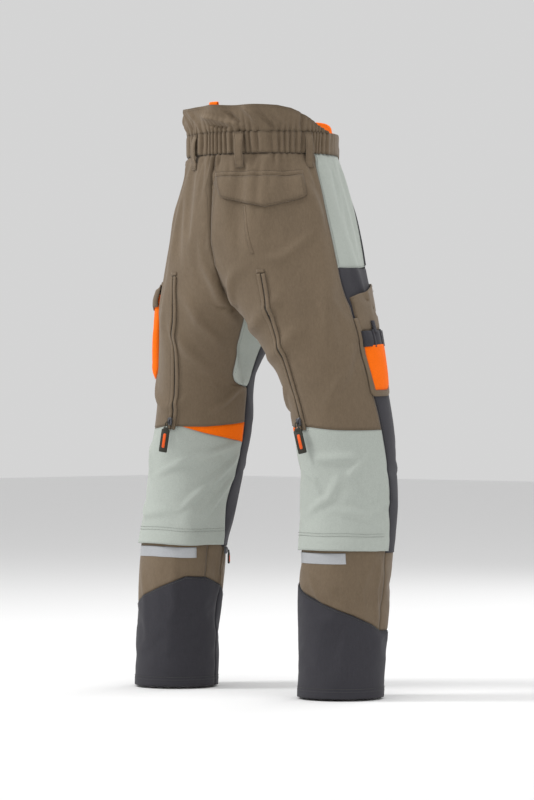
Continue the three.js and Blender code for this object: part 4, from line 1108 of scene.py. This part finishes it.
SHIN_ZIP_LOW, SHIN_ZIP_HIGH, SHIN_SLIDER = 0.200, 0.290, 0.257
SHIN_ZIP_RADII = 0.081, 0.083  # of the leg at the zip's two ends


def shin_zip_line(side, sideways, lift, high=SHIN_ZIP_HIGH):
    return line(side, [(height, SHIN_ZIP_ANGLE + np.degrees(sideways / radius))
                       for height, radius in zip((SHIN_ZIP_LOW, high), SHIN_ZIP_RADII)], lift, 40)


def add_shin_zip(side, name):
    body, slider, pull = f"shin_{name}", f"shin_slider_{name}", f"shin_pull_{name}"
    ribbon(f"shin_tape_cloth_{name}", shin_zip_line(side, 0.0, -0.0032), ZIP_WIDTH, 0.0014, TAPE, body,
           [f"shin_zip_tape_{name}"])
    add_piece(f"shin_teeth_{name}", *zip_teeth(shin_zip_line(side, 0.0, -0.0018)), COIL, body)
    lips = lambda sideways: shin_zip_line(side, sideways, -0.0018, CALF_HEM - 0.003)
    add_lips(f"shin_{name}", lips, body, TWILL, 0.0006)
    outward = line(side, [(level, SHIN_ZIP_ANGLE) for level in (SHIN_SLIDER, SHIN_SLIDER + 0.001)])[1][0]
    add_slider(slider, (0, 0, 1), outward, slider)
    add_pull(pull, outward, pull, 0.0)


FLY_TOP, FLY_BOTTOM = 0.985, 0.850


def fly_course(sideways, lift):
    heights = np.linspace(FLY_BOTTOM, FLY_TOP, 60)
    points = garment(1, heights, -middle_angle(heights), 0)
    points[:, 0] = sideways
    points[:, 1] -= FABRIC + lift
    return points, np.tile((0.0, -1.0, 0.0), (len(heights), 1))


def add_fly():
    ribbon("fly_tape_cloth", fly_course(0, -0.0006), 0.024, 0.0012, TAPE, "root", ["fly_zip_tape"])
    add_piece("fly_teeth", *zip_teeth(fly_course(0, 0.0008)), COIL)
    add_lips("fly", lambda sideways: fly_course(sideways, 0.0006), "root", CHARCOAL, 0.0020)
    stitching("fly_stitching", [fly_course(sideways, 0.0) for sideways in (-0.014, 0.014, 0.034)],
              CHARCOAL_THREAD)
    add_slider("fly_slider", -np.array(JOINTS["fly_zip"]["axis"]), (0, -1, 0), "fly_slider")


def add_centre_seams():
    """Seam allowances behind the joins in the middle of the seat and of the front."""
    for name, face, look in (("back", 1, TWILL), ("front", -1, CHARCOAL)):
        heights = np.linspace(0.738, WAIST - 0.001, 90)
        points = garment(1, heights, face * middle_angle(heights), 0)
        points[:, 0] = 0
        points[:, 1] -= face * 0.0012
        outward = np.tile((0.0, float(face), 0.0), (len(heights), 1))
        ribbon(f"centre_seam_{name}", (points, outward), 0.014, 0.0014, look)


# ---- waist ---------------------------------------------------------------------------------------

KIDNEY_TURN = 98
FACING_TURN = 112
FACING_RISE = 0.033
FACING_TAB_TURN = 35
BAND_THICKNESS = 0.003


kidney_arc = graph((0, 1), (50, 0.95), (60, 0.86), (67, 0.73), (75, 0.54), (85, 0.26), (KIDNEY_TURN, 0.05))


def kidney_top(turn):
    share = kidney_arc(np.abs(turn))
    around = np.radians(turn)
    return BAND_TOP + (KIDNEY_TOP - BAND_TOP) * share + 0.0008 * np.sin(around * 9 + 1) * share


def waist_point(height, turn, lift):
    around = np.radians(turn)
    wide, deep = section(height, HALF_WIDTH), section(height, HALF_DEPTH)
    outward = unit(np.stack([np.sin(around) / wide, np.cos(around) / deep], -1))
    x = wide * np.sin(around) + outward[..., 0] * lift
    y = deep * np.cos(around) + outward[..., 1] * lift
    return np.stack([x, y, height - WAIST], -1)


def band_pleats(height, turn):
    """Pleats that the elastic draws in the waistband; they lean a little and stay shallow in front."""
    elastic = np.clip((ELASTIC_TURN - np.abs(turn)) / 8, 0.12, 1)
    lean = (height - WAIST) * 60 * np.sin(np.radians(turn) * 3)
    share = np.clip((height - WAIST) / (BAND_TOP - WAIST), 0, 1)
    return 0.0034 * gathers(turn + lean * 0.5, 0.4, 36) * elastic * (0.75 + 0.25 * np.sin(np.pi * share))


# Height above the waistband's top edge as a share of the panel, and turn, of each crease's three
# points, then its half width and rise in millimetres.
KIDNEY_CREASES = [
    (0.62, 12, 0.50, 0, 0.18, -24, 5, 9),
    (0.95, -24, 0.60, -31, 0.15, -38, 3.5, 6.5),
    (0.85, -10, 0.55, -17, 0.20, -25, 3, -6),
    (0.85, -34, 0.45, -41, 0.02, -50, 3, -5.5),
    (0.92, -44, 0.50, -50, 0.10, -58, 4.5, 5.5),
    (0.80, -70, 0.40, -70, 0.02, -69, 2.8, -5),
    (0.95, 30, 0.55, 22, 0.10, 14, 4, 6),
    (0.95, 40, 0.50, 33, 0.05, 28, 3, -5),
    (0.90, 52, 0.50, 48, 0.10, 40, 4.5, 6),
    (0.70, 72, 0.35, 66, 0.05, 62, 3.5, -4.5),
    (0.30, 8, 0.22, -4, 0.16, -14, 2.8, -4.5),
]


def kidney_folds(height, turn):
    """The kidney panel flares out above the elastic, in broad folds that lean over."""
    rise = np.clip((height - BAND_TOP) / (KIDNEY_TOP - BAND_TOP), 0, 1.2)
    around = np.radians(turn)
    broad = np.sin(around * 8 + 2.2 * rise + 1.4 * np.sin(around * 3)) + 0.5 * np.sin(around * 15 - 3 * rise)
    creases = 0
    for points, width, amount in map(unpack, KIDNEY_CREASES):
        course = [(BAND_TOP + (KIDNEY_TOP - BAND_TOP) * level, place) for level, place in points]
        creases = creases + ridge(height, turn, course, width, amount)
    narrow = gathers(turn, 0.4, 36) * np.exp(-rise / 0.3) * 0.0030
    share = 0.3 + 0.7 * np.clip(1.15 - np.abs(turn) / KIDNEY_TURN, 0, 1)
    return 0.0040 * share * rise ** 1.3 + share * 0.0040 * rise ** 0.8 * broad + creases + narrow


def band_patch(name, start, end, bottom, top, relief, thickness, look, nodes, lift, size=0.0028,
               roll=SEAM_ROLL):
    bottom, top = as_seam(bottom), as_seam(top)
    columns = max(int(abs(end - start) * 0.0026 / size), 4)
    turn = np.linspace(start, end, columns + 1)
    rows = max(int(np.max(top(turn) - bottom(turn)) / size), 3)
    share = np.linspace(0, 1, rows + 1)[:, None]
    height = bottom(turn)[None] * (1 - share) + top(turn)[None] * share
    turn = np.broadcast_to(turn, height.shape)
    edge = np.minimum(share, 1 - share) * (top(turn) - bottom(turn))
    groove = np.exp(-(edge / SEAM_WIDTH) ** 2)
    outer = lift + thickness + relief(height, turn) - roll * groove
    place = lambda rise: waist_point(height, turn, rise)
    sewn_sheet(name, place, outer, thickness, groove, look, "root", nodes)


def waist_row(height, start, end, relief, lift=BAND_THICKNESS, count=400):
    turn = np.linspace(start, end, count)
    level = as_seam(height)(turn)
    points = waist_point(level, turn, lift + relief(level, turn))
    return points, unit(waist_point(level, turn, lift + 0.002 + relief(level, turn)) - points)


def facing_top(turn):
    share = (180 - np.abs(turn)) / FACING_TAB_TURN
    return BAND_TOP + FACING_RISE * np.sqrt(np.maximum(1 - share ** 2, 0.003))


def add_waist():
    for name, node, start, end, size in (
            ("back_cloth", "back", -ELASTIC_TURN, ELASTIC_TURN, 0.0014),
            ("front_cloth_left", "front_left", ELASTIC_TURN, 179.6, 0.0028),
            ("front_cloth_right", "front_right", -179.6, -ELASTIC_TURN, 0.0028)):
        band_patch(f"waistband_{name}", start, end, WAIST, BAND_TOP, band_pleats, BAND_THICKNESS, TWILL,
                   [f"waistband_{node}"], 0.0008, size)
    band_patch("kidney_cloth", -KIDNEY_TURN, KIDNEY_TURN, BAND_TOP - 0.0005, kidney_top, kidney_folds,
               0.0026, TWILL, ["kidney_panel"], 0.0004, 0.0014, 0.0008)
    flat = lambda height, turn: 0.0006 * np.sin(np.radians(turn) * 44)
    band_patch("elastic_cloth", -ELASTIC_TURN + 1, ELASTIC_TURN - 1, WAIST - 0.008, BAND_TOP - 0.004, flat,
               0.002, ELASTIC, ["waist_elastic"], -0.0040)
    ripple = lambda height, turn: 0.0008 * np.sin(np.radians(turn) * 11)
    band_patch("facing_cloth", -214, -FACING_TURN, WAIST + 0.004, facing_top, ripple, 0.0024, ORANGE,
               ["waist_facing"], -0.0050)
    levels = WAIST + 0.0035, BAND_TOP - 0.0035
    rows = [waist_row(level, -ELASTIC_TURN + 1, ELASTIC_TURN - 1, band_pleats) for level in levels]
    rows += [waist_row(level, start, end, band_pleats, count=160)
             for level in levels for start, end in ((105, 178), (-178, -105))]
    rows.append(waist_row(shifted(kidney_top, -0.005), -KIDNEY_TURN + 2, KIDNEY_TURN - 2, kidney_folds,
                          0.0030))
    stitching("waist_stitching", rows, THREAD)
    back = waist_point(np.array(KIDNEY_TOP), np.array(0.0), 0.0)
    # Course of the hanger tab over the panel's top edge: offset in y, offset in z and direction.
    tab = [(-0.006, -0.016, (-1, 0)), (-0.005, 0.0, (-1, 0)), (-0.0045, 0.005, (-0.6, 0.6)),
           (-0.003, 0.0062, (0, 1)), (-0.0015, 0.005, (0.6, 0.6)), (-0.001, 0.0, (1, 0))]
    points = np.array([(0, back[1] + y, z + KIDNEY_TOP - WAIST) for y, z, _ in tab])
    directions = unit(np.array([(0.0, *direction) for _, _, direction in tab]))
    ribbon("hanger_cloth", (points, directions), 0.020, 0.0014, ORANGE, "root", ["hanger_tab"], 0.0015)


LOOP_WIDTH = 0.016
LOOP_TURNS = {"back": 22, "side": 75, "front": 150}
LOOP_COURSE = ((WAIST - 0.008, 0.0085), (WAIST + 0.004, 0.0105), (WAIST + 0.016, 0.0115),
               (WAIST + 0.026, 0.0098), (BAND_TOP - 0.007, 0.0066), (BAND_TOP - 0.001, 0.0060))


def shell_at_turn(height, turn):
    """Shell point in a vertical plane through the middle of the body."""
    side = -1 if turn < 0 else 1
    waist = waist_point(np.array(WAIST), np.array(float(turn)), 0.0)
    wanted = math.atan2(abs(waist[0]), waist[1])
    angles = np.linspace(-100, 100, 801)
    points = garment(side, np.full(angles.shape, height), angles, FABRIC)
    around = np.arctan2(np.abs(points[:, 0]), points[:, 1])
    return points[np.argmin(np.abs(around - wanted))]


def add_belt_loops():
    for place, amount in LOOP_TURNS.items():
        for side, name in SIDES:
            turn = side * amount
            around = np.array(float(turn))
            at = lambda height, lift: waist_point(np.array(height), around, lift)
            outward = unit(at(WAIST, 0.01) - at(WAIST, 0.0))
            low = shell_at_turn(WAIST - 0.026, turn)
            lower = shell_at_turn(WAIST - 0.015, turn)
            course = np.array([low + outward * 0.0012, lower + outward * 0.0018]
                              + [at(height, lift) for height, lift in LOOP_COURSE])
            fine = np.linspace(0, 7, 57)
            smooth = np.stack([np.interp(fine, np.arange(8), course[:, i]) for i in range(3)], -1)
            for _ in range(6):
                smooth[1:-1] = (smooth[:-2] + smooth[1:-1] * 2 + smooth[2:]) / 4
            directions = np.tile(outward, (57, 1))
            node = f"belt_loop_{place}_{name}"
            ribbon(f"{node}_cloth", (smooth, directions), LOOP_WIDTH, 0.0021, TWILL, "root", [node],
                   0.002)
            across = unit(np.cross(outward, (0, 0, 1)))
            rows = []
            for point in (smooth[2], smooth[4], smooth[-4], smooth[-2]):
                ends = np.array([point - across * LOOP_WIDTH * 0.46, point + across * LOOP_WIDTH * 0.46])
                rows.append((np.linspace(*ends, 20) + outward * 0.0023, np.tile(outward, (20, 1))))
            for offset in (-0.38, 0.38):
                rows.append((smooth + across * LOOP_WIDTH * offset + outward * 0.0021, directions))
            stitching(f"{node}_stitching", rows, THREAD)


def add_button():
    centre_ = middle_of("waist_button")
    outward = unit(centre_ * (1, 1, 0))
    across, up, outward = axes_of((0, 0, 1), outward)
    steps = 40
    profile = [(0.0, 0.0012), (0.0035, 0.0011), (0.0045, 0.0006), (0.0062, 0.0006), (0.0070, 0.0014),
               (0.0080, 0.0014), (0.0085, 0.0006), (0.0085, -0.0008), (0.0076, -0.0015), (0.0, -0.0015)]
    points = []
    for radius, rise in profile[1:-1]:
        for k in range(steps):
            t = 2 * math.pi * k / steps
            points.append(centre_ + radius * (across * math.cos(t) + up * math.sin(t)) + outward * rise)
    rings = len(profile) - 2
    faces = [(r * steps + k, r * steps + (k + 1) % steps, (r + 1) * steps + (k + 1) % steps,
              (r + 1) * steps + k) for r in range(rings - 1) for k in range(steps)]
    faces.append(tuple(range(steps))[::-1])
    faces.append(tuple((rings - 1) * steps + k for k in range(steps)))
    add_piece("waist_button_body", points, oriented(points, faces), METAL, "root", ["waist_button"])


# ---- pockets -------------------------------------------------------------------------------------

POCKET_BACK, POCKET_FRONT = 1, -46
POCKET_CLOTH = {"lift": 0.0026, "thickness": 0.002, "roll": 0.0022, "free": "t"}
POUCH_BAND_LOW, POUCH_BAND_HIGH = 0.648, 0.676
CARGO_BACK, CARGO_FRONT = 36, -16


def bulge(amount, sides=0.022, foot=0.020, top=0.0):
    def relief(height, angle, edges):
        wide = (1 - np.exp(-edges["l"] / sides)) * (1 - np.exp(-edges["r"] / sides))
        tall = 1 - np.exp(-edges["b"] / foot)
        if top:
            tall = tall * (1 - np.exp(-edges["t"] / top))
        return amount * wide * tall
    return relief


def border(side, low, high, start, end, inset, lift):
    """Course of stitches a little inside the sides and the foot of a pocket."""
    turn = np.degrees(inset / 0.1)
    a, b = start + turn, end - turn
    foot = [(float(as_seam(low)(angle)) + inset, angle) for angle in np.linspace(a, b, 12)]
    return line(side, [(high, a)] + foot + [(high, b)], lift, 220)


def add_thigh_pocket():
    mouth = graph((POCKET_FRONT, 0.765), (POCKET_BACK, 0.738))
    round_foot = lambda angle: 0.566 + 0.030 * np.clip((-24 - angle) / 22, 0, 1) ** 2
    hem = lambda h, a, e: 0.0008 / (1 + np.exp((e["t"] - 0.014) / 0.001))
    soft = bulge(0.004)
    patch("pocket_front_cloth", -1, "root", POUCH_BAND_HIGH, mouth, POCKET_FRONT, POCKET_BACK, TWILL,
          ["pocket_front_right"], 0.004, **POCKET_CLOTH,
          relief=lambda h, a, e: soft(h, a, e) + hem(h, a, e))
    around = np.linspace(POCKET_BACK, POCKET_FRONT, 14)
    trim = [(0.70, POCKET_BACK + 0.8), *zip(round_foot(around) - 0.004, around), (0.66, POCKET_FRONT - 0.8)]
    ribbon("pouch_trim", line(-1, trim, 0.0006), 0.012, 0.0022, TWILL)
    patch("pouch_cloth", -1, "root", round_foot, 0.650, POCKET_FRONT, POCKET_BACK, ORANGE,
          ["pouch_right"], 0.004, **POCKET_CLOTH, relief=bulge(0.007))
    patch("pouch_band_cloth", -1, "root", POUCH_BAND_LOW, POUCH_BAND_HIGH, POCKET_FRONT, POCKET_BACK, CHARCOAL,
          ["pocket_band_right"], 0.003, lift=0.0050, thickness=0.002, roll=0.0012, free="tb",
          relief=lambda h, a, e: 0.0022 * np.abs(np.sin(np.pi * (a - POCKET_FRONT) / 15.7)))
    for index, angle in enumerate((-14.6, -30.3)):
        course = line(-1, [(POUCH_BAND_LOW - 0.002, angle), (POUCH_BAND_HIGH + 0.002, angle)], 0.0052, 20)
        ribbon(f"pouch_band_bar_{index + 1}", course, 0.006, 0.0024, CHARCOAL)
    loop = line(-1, [(0.694, -18), (0.686, -18), (0.680, -18), (0.672, -18)], 0.0058, 30)
    ribbon("pouch_tool_loop", loop, 0.010, 0.0030, CHARCOAL, step=0.002)
    rows = [line(-1, [(mouth(a) - offset, a) for a in np.linspace(POCKET_FRONT + 1, POCKET_BACK - 1, 12)],
                 0.0050) for offset in (0.004, 0.013)]
    rows += [line(-1, [(0.678, angle), (top, angle)], 0.0026)
             for top, angle in ((0.734, POCKET_BACK - 1.2), (0.760, POCKET_FRONT + 1.2))]
    stitching("pocket_stitching_right", rows, THREAD)
    edge = border(-1, round_foot, 0.646, POCKET_FRONT, POCKET_BACK, 0.003, 0.0036)
    stitching("pouch_stitching_right", [edge], STRIPE)


def add_cargo_pocket():
    """Full pocket with a side wall all round, so it stands off the leg."""
    foot, top = 0.590, 0.750
    patch("cargo_pouch_cloth", 1, "root", foot, top, CARGO_FRONT, CARGO_BACK, ORANGE,
          ["cargo_pouch_left"], 0.0040, lift=0.0024, thickness=0.002, roll=0.0014, free="t",
          relief=bulge(0.0165, 0.010, 0.012))
    stitching("cargo_stitching_left", [border(1, foot, 0.742, CARGO_FRONT, CARGO_BACK, 0.0012, 0.0028)],
              STRIPE)
    flap_foot = graph((CARGO_FRONT, 0.727), (CARGO_FRONT + 4, 0.722), (CARGO_BACK - 4, 0.722),
                      (CARGO_BACK, 0.727))
    def flap_rise(height, angle, edges):
        down = np.clip(edges["t"] / 0.016, 0, 1)
        return 0.0135 * down * (1 - np.exp(-edges["l"] / 0.009)) * (1 - np.exp(-edges["r"] / 0.009))
    patch("cargo_flap_cloth", 1, "cargo_flap_left", flap_foot, 0.768, CARGO_FRONT - 1,
          CARGO_BACK + 1, TWILL, ["cargo_flap_left"], 0.0035, lift=0.0072, thickness=0.0022,
          roll=0.0004, relief=flap_rise)
    ribbon("cargo_flap_seam", line(1, [(0.770, a) for a in np.linspace(CARGO_FRONT - 1, CARGO_BACK + 1, 20)]),
           0.008, 0.0050, TWILL)
    path = border(1, flap_foot, 0.756, CARGO_FRONT - 1, CARGO_BACK + 1, 0.006, 0.0078)
    stitching("cargo_flap_stitching", [(path[0] + path[1] * 0.0066, path[1])], THREAD, "cargo_flap_left")


FLAP_START, FLAP_END, FLAP_TOP = 24, 88, 0.958


def add_back_pocket():
    foot = graph((FLAP_START, 0.9235), (FLAP_START + 2.5, 0.918), ((FLAP_START + FLAP_END) / 2, 0.902),
                 (FLAP_END - 2.5, 0.918), (FLAP_END, 0.9235))
    def soft(height, angle, edges):
        dent = 0.0004 * np.exp(-(edges["b"] - 0.004) ** 2 / 4e-6)
        return 0.0014 * (1 - np.exp(-edges["t"] / 0.012)) - dent
    patch("back_flap_cloth", -1, "back_pocket_flap", foot, FLAP_TOP, FLAP_START, FLAP_END,
          TWILL, ["back_pocket_flap"], 0.003, lift=0.0026, thickness=0.0024, roll=0.0008, relief=soft)
    edge = [(FLAP_TOP - 0.004, FLAP_START + 1.6)]
    edge += [(float(foot(a)) + 0.0035, a) for a in np.linspace(FLAP_START + 1.8, FLAP_END - 1.8, 25)]
    edge += [(FLAP_TOP - 0.004, FLAP_END - 1.6)]
    stitching("back_flap_stitching", [line(-1, edge, 0.0046, 400)], THREAD, "back_pocket_flap")
    patch("back_bag_cloth", -1, "root", 0.820, FLAP_TOP - 0.013, FLAP_START + 4, FLAP_END - 4,
          BAG, ["back_pocket_bag"], 0.008, lift=-0.0032, thickness=0.0012, free="lrtb")
    welt = [(FLAP_TOP + 0.004, a) for a in np.linspace(FLAP_START - 1, FLAP_END + 1, 20)]
    ribbon("back_pocket_welt", line(-1, welt, 0.0), 0.008, 0.0016, TWILL)
    rows = [line(-1, [(FLAP_TOP + rise, a) for a in np.linspace(FLAP_START, FLAP_END, 20)], lift)
            for rise, lift in ((0.0035, 0.0016), (0.0085, 0.0002))]
    dart = [(0.905, 71), (0.86, 73), (0.815, 75)]
    rows += [line(-1, [(h, a + 1.2) for h, a in dart], 0.0009)]
    stitching("back_pocket_stitching", rows, THREAD)
    ribbon("seat_dart_seam", line(-1, dart, -0.0004), 0.006, 0.0013, TWILL)


# ---- seams of the shell --------------------------------------------------------------------------

FRONT_KNEE_SEAM = 0.503
REFLECTOR_LEVEL, REFLECTOR_WIDTH = 0.2615, 0.020
UP_BACK, UP_GUSSET, UP_HIP = (0.500, WAIST - 0.003), (0.604, 0.70), (0.80, WAIST - 0.003)


def add_seams(side, name):
    back = [line(side, up_seam(side_seam, *UP_BACK, offset)) for offset in (0.0030, 0.0090)]
    back += [line(side, along_seam(wedge_top, 6, 186, 0.0035), 0.0, 200)]
    back += [line(side, up_seam(middle_angle, 0.735, WAIST - 0.003, -0.0045))]
    stitching(f"back_stitching_{name}", back, THREAD)
    gusset = [line(side, up_seam(edge, *UP_GUSSET, offset))
              for edge, offset in ((GUSSET_BACK, 0.004), (GUSSET_FRONT, -0.004))]
    stitching(f"gusset_stitching_{name}", gusset, STRETCH_THREAD)
    hip = [line(side, up_seam(edge, *UP_HIP, offset))
           for edge, offset in ((side_seam, -0.0035), (HIP_FRONT, 0.0065))]
    stitching(f"hip_stitching_{name}", hip, STRETCH_THREAD)
    piping = line(side, up_seam(HIP_FRONT, 0.80, 0.985, 0), -0.0006)
    ribbon(f"hip_piping_{name}", piping, 0.006, 0.0022, CHARCOAL)
    front = [line(side, up_seam(side_seam, CALF_HEM + 0.004, 0.56, -0.0035)),
             line(side, along_seam(FRONT_KNEE_SEAM, -8, -150, 0), -0.0004)]
    seams = stitching(f"front_stitching_{name}", front, CHARCOAL_THREAD, None)
    rows = [line(side, along_seam(CALF_HEM, 1, 187, rise), 0.0032, 260) for rise in (0.026, 0.031)]
    hem = stitching(f"calf_stitching_{name}", rows, STRETCH_THREAD, None)
    for piece in (seams, hem):
        bend_at_knee(piece)
    shin = f"shin_{name}"
    cuff = [line(side, along_seam(cuff_top, -12, 346, -0.0035), 0.0, 360)]
    cuff += [line(side, along_seam(0.0, -12, 346, rise), 0.0006, 300) for rise in (0.013, 0.018)]
    stitching(f"cuff_stitching_{name}", cuff, CHARCOAL_THREAD, shin)
    leg = [line(side, up_seam(SHIN_SEAM, 0.220, 0.30, offset), -FABRIC) for offset in (-0.003, -0.008)]
    leg += [line(side, up_seam(SHIN_ZIP_ANGLE, 0.205, 0.30, offset), -FABRIC) for offset in (-0.011, 0.011)]
    stitching(f"shin_stitching_{name}", leg, THREAD, shin)
    strip = line(side, [(REFLECTOR_LEVEL, a) for a in np.linspace(48, 150, 20)], -FABRIC - 0.0002)
    ribbon(f"reflector_{name}", strip, REFLECTOR_WIDTH, 0.0012, SILVER, shin)


for side_, name_ in SIDES:
    add_panels(side_, name_)
    add_seams(side_, name_)
    add_vent(side_, name_)
    add_shin_zip(side_, name_)
add_fly()
add_centre_seams()
add_waist()
add_belt_loops()
add_button()
add_thigh_pocket()
add_cargo_pocket()
add_back_pocket()
